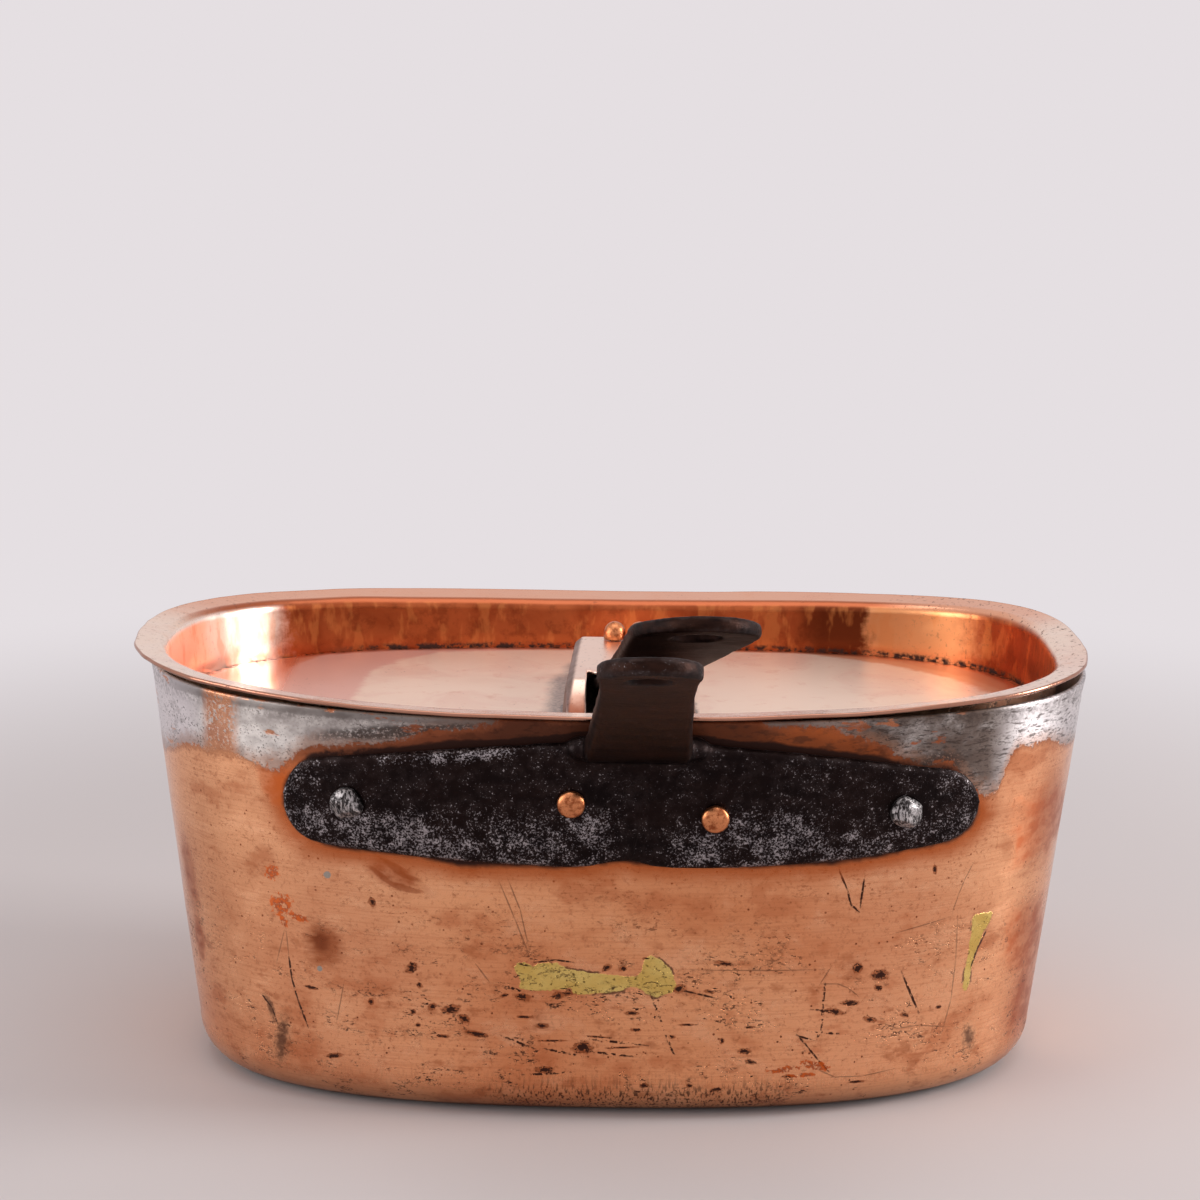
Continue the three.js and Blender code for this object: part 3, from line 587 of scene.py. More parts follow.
RIM_SQUARENESS = (2.67, 0.13, 0.22)
BASE_SQUARENESS = (2.71, 0.13, -0.23)

# Places on the front wall in millimetres, x and z
WING_OUTLINE = (
    (-102.8, 109.7), (-100.3, 111.9), (-98.3, 114.7), (-95.2, 117.4), (-90.4, 119.2), (-67.4, 122.2),
    (-49.2, 124.8), (-28.2, 127.5), (-15.2, 128.9), (5.3, 129.2), (26.9, 128.2), (50, 124.8), (74.4, 120.9),
    (95, 117.6), (103.6, 115.2), (107.2, 113), (109.4, 110.4), (110.9, 103), (110.2, 98.7), (109.1, 95.5),
    (106.3, 93.7), (103.7, 92.5), (96.2, 91.9), (80.7, 89.6), (65.3, 87.7), (45, 87.2), (14.6, 88),
    (6.4, 88.9), (1.2, 89.8), (-4.9, 88.7), (-20.1, 87.2), (-49.5, 87.2), (-70.9, 89.5), (-91.6, 90.6),
    (-96.9, 91.7), (-100.3, 93.4), (-102.4, 96.7), (-103.5, 101.5), (-103.6, 106.4),
)
LONG_BRAZE = (
    (-32.6, 53.1), (-29.3, 54.1), (-26.2, 52.5), (-24.3, 53.8), (-19.3, 54.1), (-15.6, 52.0), (-8.7, 50.9),
    (-1.8, 50.1), (3.4, 49.6), (7.0, 49.9), (8.7, 56.0), (10.6, 56.8), (13.6, 55.4), (16.9, 52.0),
    (18.5, 47.0), (17.5, 44.6), (13.9, 43.3), (11.9, 42.5), (8.7, 44.3), (7.0, 45.9), (4.1, 46.2),
    (0.8, 44.6), (-5.3, 43.8), (-13.2, 43.3), (-14.5, 45.6), (-17.8, 44.9), (-22.7, 44.6), (-27.3, 44.6),
    (-30.7, 44.9), (-30.1, 48.0), (-32.2, 51.2),
)
TALL_BRAZE = (
    (113.0, 64.7), (120.4, 63.9), (119.4, 60.7), (117.2, 57.6), (115.8, 53.3), (114.7, 49.1), (113.6, 44.3),
    (113.6, 39.8), (112.5, 37.4), (111.2, 39.0), (111.4, 43.5), (112.0, 48.8), (112.6, 53.8), (113.0, 59.1),
)
TIN_EDGE = (
    (-156, 104), (-139, 113.1), (-120.7, 115), (-111.5, 113), (-105.7, 113.4), (-99.1, 118.7),
    (-92.4, 121.8), (-83, 121.8), (-73.5, 124.5), (-67.4, 126.1), (-58.1, 128.2), (-48.7, 129.9),
    (-39.6, 132), (-34, 135), (41, 135), (46, 131.4), (66.6, 131), (70, 128.2), (79.3, 125), (87.4, 121.3),
    (94.1, 117.6), (102, 117.4), (107.1, 113.1), (111, 108), (115.5, 105.6), (119, 107), (121.5, 113),
    (125.3, 119.5), (136.4, 118.9), (156, 110),
)
DARK_LINES = (
    ((68.5, 84), (71.2, 77.7), (72.6, 72.6), (74.8, 70.5)), ((76.4, 80.8), (75.6, 72.4)),
    ((57.3, 28.7), (61.8, 27.1)), ((57.3, 28.7), (60.7, 24.5), (64, 20), (67.3, 16)),
    ((118.2, 58.1), (115.2, 51.7), (113.4, 45.9)), ((90.6, 46.4), (96, 33.7)), ((90.8, 46.2), (96.1, 33.9)),
    ((-104.3, 50.1), (-103.5, 42.5), (-101.6, 35.1), (-98.5, 26.6)),
    ((-113.8, 34.3), (-110.5, 30.6), (-109, 26.1)), ((18.5, 45.5), (24, 44.2), (30, 42.6)),
    ((-14.5, 54.4), (-19.5, 55), (-24.6, 54.2)), ((-30.6, 53.4), (-27.5, 52.8)),
)
DASHED_LINES = (
    ((10.9, 42.5), (13.8, 35.1), (16.1, 28.2), (18, 23.7)),
    ((65.3, 45.9), (64.9, 39), (64.9, 32.2), (63.4, 27.1)), ((62.6, 37.4), (69.6, 36.1)),
    ((62, 30), (70.5, 28.6)), ((-36, 28.5), (-27, 25)), ((-22, 24.5), (-12, 22.5)), ((-9, 24), (4, 22.5)),
    ((-7, 28), (7, 26.5)), ((-34, 45.5), (-30, 44)), ((-28, 15.5), (-16, 16.5)),
)
FINE_LINES = (
    ((111.8, 82.2), (109.4, 77.4), (107.6, 72.4), (106, 67.1)), ((66.5, 50.9), (64, 46.7)),
    ((64.6, 46.2), (69.5, 45.9), (72.7, 44.3), (76, 41.4)),
    ((107.8, 63.1), (108, 49.6), (107.2, 35.9), (105.2, 26.6)),
    ((85.5, 30.6), (89.5, 28.5), (96.4, 28.7), (105.2, 26.6)),
    ((64.2, 16.5), (69.7, 13.6), (78.6, 13.1), (87.6, 14.2)), ((-36.4, 79.5), (-31.7, 67.6), (-28, 57.6)),
    ((-33.7, 80.3), (-30.4, 71.6), (-28.1, 61)), ((-105.6, 58.3), (-108.4, 47)),
    ((-105, 58.6), (-104.3, 50.1)), ((25.8, 52), (60.9, 51.2)), ((-86.4, 42.5), (-88.6, 30.8)),
    ((88, 62), (104, 65)), ((-44, 52.5), (-40, 47)),
)
BRUSH_STROKES = (
    ((-76.7, 82.9), (-70.4, 78.2), (-63.3, 76.6)), ((-74.2, 80.6), (-68, 76.6), (-61.9, 76.1)),
    ((-71.4, 84.3), (-66.2, 81.1), (-62.1, 80)), ((-73, 86), (-67, 83.2)),
)
DEEP_PITS = (
    (-76.8, 71.6, 0.9, 1.1, 20), (-64.4, 50.4, 1.2, 1.6, -30), (-62, 44.6, 0.7, 0.8, 0),
    (-97, 40.1, 1.7, 0.5, -6), (-77.5, 37.7, 0.7, 0.9, 0), (33.5, 54.1, 2, 0.7, -12),
    (75.6, 50.9, 1.3, 1.4, 0), (82.8, 48, 1.5, 2.3, 80), (82.5, 43.5, 1.2, 0.9, -30),
    (68.7, 36.4, 2.6, 0.8, -12), (73.7, 39, 2.2, 0.8, -8), (80.2, 32.7, 1.7, 0.8, -18),
    (91.6, 32.9, 1.1, 0.6, -20), (40.5, 24, 1.7, 0.8, -4), (42.3, 20.3, 1.4, 0.7, -20),
    (99.2, 82.2, 0.6, 1.4, 10), (-10.6, 25.3, 2.6, 1.6, 10), (4.8, 37.2, 1.9, 0.6, 0),
    (17.4, 29.2, 0.9, 0.5, 0), (-22.7, 17.3, 2.4, 1, 0), (-15.5, 43.6, 1.8, 0.7, 10),
    (-29.6, 42.2, 2, 1, -10), (9.3, 55.8, 1.3, 0.4, 0), (19.4, 45.6, 1.8, 1.3, 20),
    (-35.4, 42.5, 1.1, 0.5, 15), (-52, 37, 2.4, 1.2, 10), (-48, 34, 1.6, 1.2, -30), (-44, 29, 3, 0.7, -8),
    (54.6, 14.8, 1.6, 0.5, 0), (77, 11.2, 2, 0.4, 0), (103, 34, 0.8, 0.5, 0), (-90, 17.5, 2.2, 0.7, 12),
    (-18.3, 43, 1.5, 1, 10), (6, 31.5, 1.4, 0.5, 0), (-23.3, 32.4, 1.6, 0.8, 0), (-29, 35.4, 2, 0.4, 0),
    (-3.2, 52.6, 1.3, 0.9, 30), (1.7, 52.3, 1, 0.7, 0), (-54.7, 27.7, 1.8, 0.5, 0),
    (-64, 35.4, 0.7, 0.8, 0), (-58, 37.6, 1.2, 0.9, 40), (-62.6, 31, 0.6, 0.7, 0),
    (33.2, 27.7, 0.6, 0.8, 0), (41.8, 32.3, 1.3, 0.4, 0), (8.9, 12.3, 1.1, 0.7, 0),
    (23.2, 12.3, 0.8, 0.6, 0), (31.7, 10.7, 1.6, 0.6, 10), (28.9, 44.6, 1.4, 0.5, -12),
    (-6, 29, 3.4, 0.3, -4), (2, 25.4, 4, 0.3, 3), (-20, 27.4, 3.6, 0.3, 2), (22, 33.4, 2.4, 0.3, 0),
)
DARK_SMEARS = (
    (-107.4, 20, 2.2, 8, -8), (-110.8, 30, 1.1, 4.4, 18), (114.4, 20.4, 2, 4.6, 6),
)
BROWN_RUBS = (
    (136, 92, 12, 14, -12), (133, 50, 7.6, 14, 4), (135, 26, 6.4, 15, -4), (-140, 68, 2.8, 12, 8),
    (-137, 46, 2, 7, 6), (-69.5, 81.4, 7.6, 3.8, -24), (-107.5, 107, 5, 8, 20),
)
RED_MARKS = (
    (-109.2, 77.4, 2, 2.6, -30), (-106.4, 67.2, 3.2, 3.4, -20), (-101, 63.6, 3.2, 1.1, -12),
    (-105.8, 61.4, 1, 2, 20), (63.2, 18, 4.4, 1.4, -14), (53.6, 17.2, 5.4, 0.9, 4), (59, 15, 4, 0.7, 0),
)
SOLDER_DOTS = ((-91, 79.2, 1.15, 1.15, 0), (-94.1, 47, 0.9, 0.9, 0))
DENT = (-92.2, 55.4)


def wall_outline(angle, z, inset, shape):
    """The wall's oval at a height: sizes, squareness and a small shift run straight from ground to rim."""
    share = z / (2 * PAN_HALF.z - shape.rim_rise)
    squareness = [low + (high - low) * share for low, high in zip(BASE_SQUARENESS, RIM_SQUARENESS)]
    half_length = shape.base_half_length + (shape.rim_half_length - shape.base_half_length) * share
    half_depth = shape.base_half_depth + (shape.rim_half_depth - shape.base_half_depth) * share
    return inset_oval(angle, half_length, half_depth, squareness, inset) + [PAN_MIDDLE.x * share, 0]


# Columns at the back for each at the front, and rows of the profile; inside, the wall has one row in five
BACK_COLUMNS = 0.55
CORNER_ROWS, RIM_ROWS, WALL_ROWS = 12, 9, 73
BASE_ROWS, LINING_ROWS = 8, 6
INNER_SKIP = 5

# Shares of the base's oval where its rows start and end, and of the height where the wall rises and ends
MIDDLE_SHARE, CORNER_SHARE = 0.05, 0.97
RISE_FROM, WALL_TOP = 0.8, 0.985


def pan_body_grid(shape):
    """The whole shell as one profile carried round the oval, and which rows lie inside the pan.

    Rows run from the middle of the underside, round the corner arc, up the straight wall, over the
    rounded rim and the same way back inside. The rim rises with the square of x over the half length.
    The front half has more columns than the back.
    """
    back = np.linspace(0, math.pi, int(BACK_COLUMNS * shape.columns), endpoint=False)
    angle = np.concatenate([back, np.linspace(math.pi, FULL_TURN, shape.columns, endpoint=False)])
    height = 2 * PAN_HALF.z - shape.rim_rise
    turns = np.linspace(0, math.pi / 2, CORNER_ROWS)
    wall = np.linspace(shape.corner, WALL_TOP * height, WALL_ROWS)[1:]
    corner, sheet = shape.corner, shape.sheet
    rows = []

    def add_row(level, inset, z, rise=0.0, shrink=1.0, inside=0.0):
        """The wall's oval at a level, inset and shrunk, put at height z."""
        outline = wall_outline(angle, level, inset, shape) * shrink
        lift = rise * shape.rim_rise * (outline[:, 0] / shape.rim_half_length) ** 2
        rows.append((np.column_stack([outline, z + lift]), inside))

    for shrink in np.linspace(MIDDLE_SHARE, CORNER_SHARE, BASE_ROWS):
        add_row(corner, corner, 0.0, shrink=shrink)
    for turn in turns:
        add_row(corner, corner * (1 - math.sin(turn)), corner * (1 - math.cos(turn)))
    for z in wall:
        add_row(z, 0.0, z, rise=smooth_step(z, RISE_FROM * height, height))
    for turn in np.linspace(0, math.pi, RIM_ROWS):
        add_row(
            height, sheet / 2 * (1 - math.cos(turn)), height - sheet / 2 * (1 - math.sin(turn)), rise=1.0
        )
    for z in wall[::-INNER_SKIP]:
        add_row(z, sheet, z, rise=smooth_step(z, RISE_FROM * height, height), inside=1.0)
    for turn in turns[::-1]:
        sideways, up = (corner - sheet) * (1 - math.sin(turn)), (corner - sheet) * (1 - math.cos(turn))
        add_row(corner, sheet + sideways, sheet + up, inside=1.0)
    for shrink in np.linspace(CORNER_SHARE, MIDDLE_SHARE, LINING_ROWS):
        add_row(corner, corner, sheet, shrink=shrink, inside=1.0)
    return np.stack([row for row, _ in rows]), np.array([inside for _, inside in rows])


# Heights over which the hammering sets in and fades, its strength, and one knock low on the left
FOOT_FADE = (4 * MM, 14 * MM)
RIM_FADE = (134 * MM, 128 * MM)
HAMMER_STRENGTH = 2.2
KNOCK_HALVES = (5, 5.5)
KNOCK_DEPTH = 0.7 * MM


def raise_by_hammer(grid, shape):
    """Moves wall points inwards along the oval by value noise at three sizes, plus one knock.

    The knock is its depth times e to the power of minus r squared, where r is the distance from its
    middle in its own half sizes.
    """
    height = grid[..., 2]
    hollow = hollows(grid, (38, 0.66, 1), (17, 0.27, 2), (7, 0.07, 3))
    depth = hollow * smooth_step(height, *FOOT_FADE) * smooth_step(height, *RIM_FADE)
    depth *= shape.hammering * HAMMER_STRENGTH
    off = (grid[..., [0, 2]] / MM - DENT) / KNOCK_HALVES
    depth += np.where(grid[..., 1] < 0, KNOCK_DEPTH * np.exp(-(off**2).sum(-1)), 0)
    return grid - outwards_from(grid, 0) * depth[..., None]


# Millimetres: how far forward marks are measured, the gap elsewhere and inside, and the tin at the back
FRONT_Y = -30
NO_MARK = 40.0
LINED = 30.0
BACK_EDGE, BACK_WAVE, WAVE_SIZE = 120, 6, 30
EDGES_MEET = (-20, 20)


def pan_body_layers(grid, inside):
    """Distances in millimetres that the finish needs, and which side of the sheet a point is on.

    They are the distances to the iron plate, to the brazed patches and up from the tin's edge.
    """
    x, y, z = (grid[..., i] / MM for i in range(3))
    lining = inside[:, None] > 0.5
    front = (y < FRONT_Y) & ~lining

    def front_gap(*outlines):
        """Distance to the nearest of some outlines on the front wall."""
        gap = np.full(x.shape, NO_MARK)
        gap[front] = np.min([outline_gap(x[front], z[front], outline) for outline in outlines], axis=0)
        return gap

    front_edge = np.interp(x, *np.array(TIN_EDGE).T)
    back_edge = BACK_EDGE + BACK_WAVE * value_noise(grid, WAVE_SIZE * MM, 8)
    share = smooth_step(-y, *EDGES_MEET)
    tin_gap = z - (front_edge * share + back_edge * (1 - share))
    return {
        "wing_gap": front_gap(WING_OUTLINE),
        "braze_gap": front_gap(LONG_BRAZE, TALL_BRAZE),
        "tin_gap": np.where(lining, LINED, tin_gap),
        "inside": np.broadcast_to(inside[:, None], x.shape),
    }


def wiped_tin(p, middle, fine, finish):
    """Wiped tin over the rim: where it lies, its colour, and where the copper under it has gone brown."""
    gap = p.pushed(p.pushed(p.layer("tin_gap"), middle, 9.0), fine, 5.0)
    outside = p.rest(p.layer("inside"))
    worn_strip = p.both(p.band(p.x, -133, -129), p.band(p.x, -118, -123), p.band(p.y, 0, -10))
    worn_patches = p.both(
        p.band(p.noise(5, 4, 0.62, stretch=(3, 3, 1), shift=44), 0.6, 0.66), p.band(p.x, 118, 98)
    )
    bare = p.both(p.either(p.both(worn_strip, p.band(fine, 0.34, 0.5)), worn_patches), outside)
    tin = p.both(p.band(gap, -0.5, 0.8), p.rest(p.both(bare, 0.85)))
    cloud = p.noise(7, 3, 0.6, stretch=(1.6, 1.6, 1), shift=66)
    speckle = p.noise(0.8, 4, 0.75, stretch=(1.3, 1.3, 1), shift=17)
    streak = p.noise(0.9, 5, 0.72, stretch=(4, 4, 1), shift=36, warp=0.4)
    left_streaks = p.both(p.band(p.x, -92, -78), p.band(p.x, -40, -60), p.band(gap, 7, 2))
    streaked = p.either(p.band(p.x, 50, 76), left_streaks, p.band(p.x, -148, -155))
    shade = p.mix(p.band(cloud, 0.35, 0.65), (160, 152, 148), finish.tin)
    dingy = p.both(p.band(p.x, 62, 80), p.band(p.x, 132, 112), p.band(middle, 0.7, 0.46))
    shade = p.over(shade, (92, 74, 64), dingy, 0.85)
    # Painted highlight: the tin is paler at both ends.
    pale = p.either(p.both(p.band(p.x, -128, -140), 0.8), p.both(p.band(p.x, 114, 128), 0.6))
    shade = p.over(shade, (234, 227, 229), pale)
    shade = p.over(shade, (158, 112, 86), p.band(gap, 6.0, 0.8), 0.55)
    black = p.blots(((100.5, 118, 9, 4.2, 8), (-66, 128.4, 29, 2.2, 8)), middle, 1.8, 0.5)
    dark = p.either(
        p.both(p.band(speckle, 0.55, 0.62), p.scale_to(p.band(cloud, 0.42, 0.6), 0.2, 0.85)),
        p.both(p.band(streak, 0.5, 0.62), streaked, 0.85),
        p.both(p.band(cloud, 0.6, 0.72), 0.35),
        p.both(black, p.band(speckle, 0.36, 0.5), 0.9),
        p.both(p.band(p.z, 126, 132), p.band(fine, 0.4, 0.6), 0.5),
        # Painted shadow on the wall's top under the lid's flange.
        p.both(
            p.band(p.pushed(p.z, fine, 2.4), 130.2, 131.6), p.band(p.x, 84, 50), p.band(p.y, -30, -60), 0.6
        ),
    )
    shade = p.over(shade, (70, 60, 56), dark, outside)
    roughness = p.scale_to(cloud, 0.34, 0.5)
    return tin, shade, roughness, p.band(gap, -2.6, -0.4)


def body_copper(finish):
    """Satin copper brushed level, pitted low down, brazed twice, tinted round the plate, tinned at the rim;
    paler towards the ends as a painted sheen, and darkened in a thin ring at the plate's edge as painted
    shade.
    """
    p = Paint("Rubbed body copper")
    front = p.band(p.y, -8.0, -26.0)
    cloud = p.noise(44, 3, 0.5, stretch=(1.7, 1.7, 1), shift=3)
    middle = p.noise(12, 4, 0.6, stretch=(1.5, 1.5, 1), shift=9)
    fine = p.noise(1.4, 4, 0.66, shift=21)
    brushed = p.noise(0.55, 2, 0.5, stretch=(30, 30, 1), shift=2)
    p.colour = p.mix(p.band(cloud, 0.34, 0.64), finish.deep_copper, finish.body_copper)
    # Painted sheen: the copper is paler towards both ends, where the curved wall catches the side lights.
    sides = p.band(p.math("ABSOLUTE", p.pushed(p.x, cloud, 60.0)), 26, 92)
    p.coat((250, 194, 154), sides, 0.3)
    p.coat((250, 190, 148), p.band(middle, 0.5, 0.7), 0.5)
    p.coat((196, 112, 70), p.band(middle, 0.47, 0.32), 0.5)
    p.coat((186, 108, 70), p.band(brushed, 0.46, 0.68), 0.22)
    p.coat((176, 96, 58), p.band(fine, 0.52, 0.7), 0.3)

    low = p.band(p.z, 88, 36)
    crack = p.noise(2.0, 4, 0.6, stretch=(1.8, 1.8, 1), shift=61)
    veins = p.band(p.math("ABSOLUTE", p.math("SUBTRACT", crack, 0.5)), 0.04, 0.012)
    deep = p.nearness(DEEP_PITS, fine, 1.6)
    ragged = p.band(p.math("ADD", deep, p.both(veins, 0.34)), 0.6, 0.7)
    clusters = p.band(p.noise(12, 3, 0.6, stretch=(1.9, 1.9, 1), shift=40), 0.5, 0.58)
    flecks = p.band(p.noise(0.9, 4, 0.68, stretch=(2.6, 2.6, 1), shift=55), 0.58, 0.625)
    dots = p.both(p.band(p.cells(2.9, shift=12), 0.17, 0.09), p.band(p.noise(7, 3, shift=70), 0.5, 0.58))
    pits = p.either(
        p.both(
            flecks,
            clusters,
            p.scale_to(low, 0.06, 1.0),
            p.scale_to(p.band(p.math("ABSOLUTE", p.x), 104, 62), 0.35, 1.0),
        ),
        p.both(dots, p.scale_to(low, 0.2, 0.5)),
        p.both(ragged, front),
        p.both(
            veins,
            clusters,
            p.band(p.noise(3.5, 3, 0.6, stretch=(1.6, 1.6, 1), shift=65), 0.5, 0.6),
            low,
            0.9,
        ),
    )
    seam = p.both(p.strokes(DARK_LINES, 0.34, fine, 1.6), p.band(fine, 0.36, 0.42))
    dashes = p.both(p.strokes(DASHED_LINES, 0.4, fine, 1.6), p.band(fine, 0.46, 0.52))
    hair = p.both(p.strokes(FINE_LINES, 0.24, fine, 1.2), 0.55)
    upright = p.noise(0.8, 3, 0.6, stretch=(1, 1, 24), shift=31)
    under_front = p.both(p.band(p.x, -50, -28), p.band(p.x, 66, 44), front)
    foot = p.both(p.band(upright, 0.46, 0.62), p.band(p.z, 18, 7), p.scale_to(under_front, 0.3, 0.95))
    foot = p.either(
        foot, p.both(p.band(p.pushed(p.z, middle, 3.0), 4.5, 1.5), 0.85), p.both(p.band(p.z, 16, 4), 0.35)
    )

    strokes = p.noise(1.5, 4, 0.62, stretch=(4, 4, 1), shift=13)
    wiped = p.noise(4.5, 4, 0.6, stretch=(1.4, 1.4, 1), shift=83)
    rubbed = p.both(
        p.blots(BROWN_RUBS, middle, 2.2, 0.45), front, p.scale_to(p.band(wiped, 0.34, 0.66), 0.6, 1.0)
    )
    p.coat((176, 96, 58), rubbed)
    brush = p.both(p.strokes(BRUSH_STROKES, 0.8, strokes, 1.6), front, 0.6)
    p.coat((152, 74, 38), brush)
    dented = p.both(p.blots(((*DENT, 5.6, 6.6, 20),), strokes, 1.2, 0.5), front)
    p.coat((152, 74, 38), dented, 0.75)
    hollow = p.both(p.blots(((DENT[0] - 1.4, DENT[1] + 0.8, 2.6, 3.2, 20),), strokes, 1.2, 0.5), front)
    p.coat((112, 48, 26), hollow, 0.6)
    stains = p.both(
        p.band(p.noise(5, 4, 0.62, stretch=(2, 2, 1), shift=90), 0.55, 0.7), p.scale_to(low, 0.15, 0.5)
    )
    p.coat((166, 90, 52), stains)
    rusty = p.either(
        p.both(p.band(deep, 0.12, 0.4), front, 0.7), p.both(flecks, clusters, 0.4), p.both(dots, 0.8)
    )
    p.coat((142, 70, 36), rusty)
    braze_gap = p.pushed(p.layer("braze_gap"), fine, 1.8)
    braze = p.band(braze_gap, 0.2, -0.15)
    yellow = p.mix(p.band(middle, 0.4, 0.65), finish.brass, (232, 204, 122))
    p.coat(p.mix(p.both(p.band(fine, 0.58, 0.66), 0.8), yellow, (84, 66, 24)), braze)
    rim = p.both(p.band(braze_gap, 0.8, 0.35), p.band(braze_gap, -0.2, 0.1), p.band(middle, 0.53, 0.6), 0.8)
    smears = p.both(p.blots(DARK_SMEARS, fine, 2.4, 0.8), front)
    dark = p.either(pits, foot, rim, p.both(p.either(seam, dashes, hair), front), p.both(smears, 0.85))
    p.coat((58, 26, 14), dark)
    red = p.both(p.blots(RED_MARKS, fine, 2.6, 0.25), front, p.band(fine, 0.38, 0.5))
    p.coat(p.mix(p.band(fine, 0.46, 0.58), (128, 42, 14), (200, 88, 22)), red, 0.9)
    p.coat((168, 160, 150), p.blots(SOLDER_DOTS, fine, 0.5, 0.15), front)

    plate_gap = p.pushed(p.layer("wing_gap"), middle, 5.0)
    above = p.band(p.z, 112, 122)
    tint = p.either(
        p.both(p.band(plate_gap, 10.0, 2.0), 0.85), p.both(above, p.band(plate_gap, 16.0, 9.0), 0.9)
    )
    orange = p.mix(p.both(above, p.band(p.x, 50, -20)), (184, 90, 40), (156, 82, 52))
    blotched = p.both(above, p.band(p.noise(3, 4, 0.65, stretch=(2.4, 2.4, 1), shift=27), 0.48, 0.62), 0.75)
    orange = p.over(orange, (92, 42, 22), blotched)
    p.coat(orange, tint)
    # Darker in the strip between the plate's top and the rim, towards the middle.
    dark_strip_above_plate = p.both(above, p.band(p.x, -62, -36), p.band(p.x, 62, 38), 0.75)
    # Painted shade in a thin ring round the plate's edge, together with the darker strip above the plate.
    plate_edge_shade_and_strip = p.either(
        p.band(plate_gap, 2.6, 0.4), p.both(above, p.band(plate_gap, 10.0, 2.0), 0.5), p.both(dark_strip_above_plate, front)
    )
    p.coat((52, 26, 18), plate_edge_shade_and_strip)

    tin, tin_colour, tin_rough, brown_edge = wiped_tin(p, middle, fine, finish)
    p.coat((150, 84, 54), brown_edge, 0.5)
    p.coat(tin_colour, tin)

    darkened_places = p.both(p.either(p.both(dark, 0.9), p.both(red, 0.7), plate_edge_shade_and_strip), p.rest(p.both(tin, 0.6)))
    metallic = p.scale_to(darkened_places, 1.0, 0.4)
    roughness = p.scale_to(p.band(middle, 0.3, 0.7), 0.19, 0.28)
    roughness = p.blend(p.either(darkened_places, p.both(rubbed, 0.5)), p.blend(tin, roughness, tin_rough), 0.55)
    relief = p.relief(
        (p.either(pits, p.both(seam, 0.5)), -0.06),
        (p.either(braze, p.both(tin, 0.7)), 0.1),
        (middle, 0.1),
        (p.math("ADD", p.both(fine, 0.75), p.both(brushed, 0.25)), 0.02),
    )
    sheen = {"Anisotropic": 0.7, "Anisotropic_Rotation": 0.25, "Specular_IOR_Level": 0.25}
    return p.finish(metallic, roughness, relief, **sheen)


class RaiseBody(bpy.types.Operator):
    """Raise the copper body from one sheet and tin its rim and inside"""

    bl_idname = "copper_pan.raise_body"
    bl_label = "Raise body"

    def execute(self, context):
        shape = context.scene.pan_shape
        grid, inside = pan_body_grid(shape)
        layers = pan_body_layers(grid, inside)
        piece = grid_object("pan_shell", raise_by_hammer(grid, shape), layers, poles=True)
        place_piece(piece, body_copper(context.scene.pan_finish), "pan", "body_copper", "pot_body")
        return {"FINISHED"}


# Forged iron

EDGE_TINT = srgb(150, 124, 118)
FORGE_SEAM = (((3.4, 88.6), (4.4, 94), (5.6, 100), (6.0, 108)),)


def forged_iron(name, finish, wings):
    """Brown-black scale with rusty clouds, satin; the wings are black and salted with fine grey.

    The salt lies in patches low on both wings, round the tips and along the top on the left, and leaves
    out the seam under the bar.
    """
    p = Paint(name)
    broad = p.noise(24, 3, 0.55, shift=4)
    mottle = p.noise(4, 5, 0.68, shift=14)
    grit = p.noise(0.65, 4, 0.74, shift=24)
    p.colour = p.mix(p.band(mottle, 0.38, 0.64), (18, 12, 12), finish.iron)
    p.coat((44, 27, 21), p.band(broad, 0.42, 0.62), 0.6)
    level = p.pushed(grit, mottle, 0.3)
    rust = p.band(p.noise(7, 4, 0.62, stretch=(2.6, 1, 1), shift=74), 0.38, 0.66)
    p.coat((66, 42, 33), rust, 0.55)
    if wings:
        on_wing = p.band(p.y, -110, -102)
        low = p.band(p.pushed(p.z, broad, 16.0), 109, 99)
        tips = p.either(p.both(p.band(p.x, -88, -96), 0.85), p.both(p.band(p.x, 92, 104), 0.6))
        ridge = p.blots(((-50, 123.5, 24, 3.2, 7),), broad, 1.0, 0.4)
        right = p.both(p.band(p.x, 40, 66), 0.2)
        clear = p.band(p.math("ABSOLUTE", p.math("SUBTRACT", p.x, 7.0)), 4, 13)
        patches = p.band(p.noise(7, 3, 0.6, stretch=(1.6, 1, 1), shift=34), 0.4, 0.56)
        salted = p.both(
            p.either(p.both(low, p.band(p.x, 112, 60)), p.both(low, 0.7), tips, ridge, right),
            clear,
            on_wing,
        )
        salted = p.both(salted, p.scale_to(patches, 0.4, 1.0))
        level = p.math("ADD", level, p.math("MULTIPLY", salted, 0.13))
        split = p.both(p.strokes(FORGE_SEAM, 0.45, mottle, 1.4), on_wing)
        level = p.math("SUBTRACT", level, p.both(split, 0.3))
        black = p.both(on_wing, 0.85)
        p.coat(p.mix(p.band(mottle, 0.4, 0.66), (18, 13, 14), (38, 31, 31)), black)
    salt = p.both(p.band(level, 0.63, 0.69), 0.85 if wings else 0.12)
    p.coat(p.mix(p.band(mottle, 0.35, 0.65), (116, 109, 112), finish.worn_iron), salt)
    # Edges that stand out are paler: wear, and a painted highlight.
    rubbed = p.both(p.band(p.pushed(p.layer("edge"), mottle, 0.9), 0.72, 1.15), 0.16)
    p.coat((120, 112, 112), rubbed)
    bright = p.either(salt, rubbed)
    roughness = p.blend(bright, p.scale_to(mottle, 0.32, 0.5), 0.4)
    height = p.math("SUBTRACT", mottle, p.both(split, 1.6)) if wings else mottle
    relief = p.relief((height, 0.22), (grit, 0.07))
    sheen = {"Specular_IOR_Level": 0.35, "Specular_Tint": EDGE_TINT}
    return p.finish(p.scale_to(bright, 0.6, 1.0), roughness, relief, **sheen)


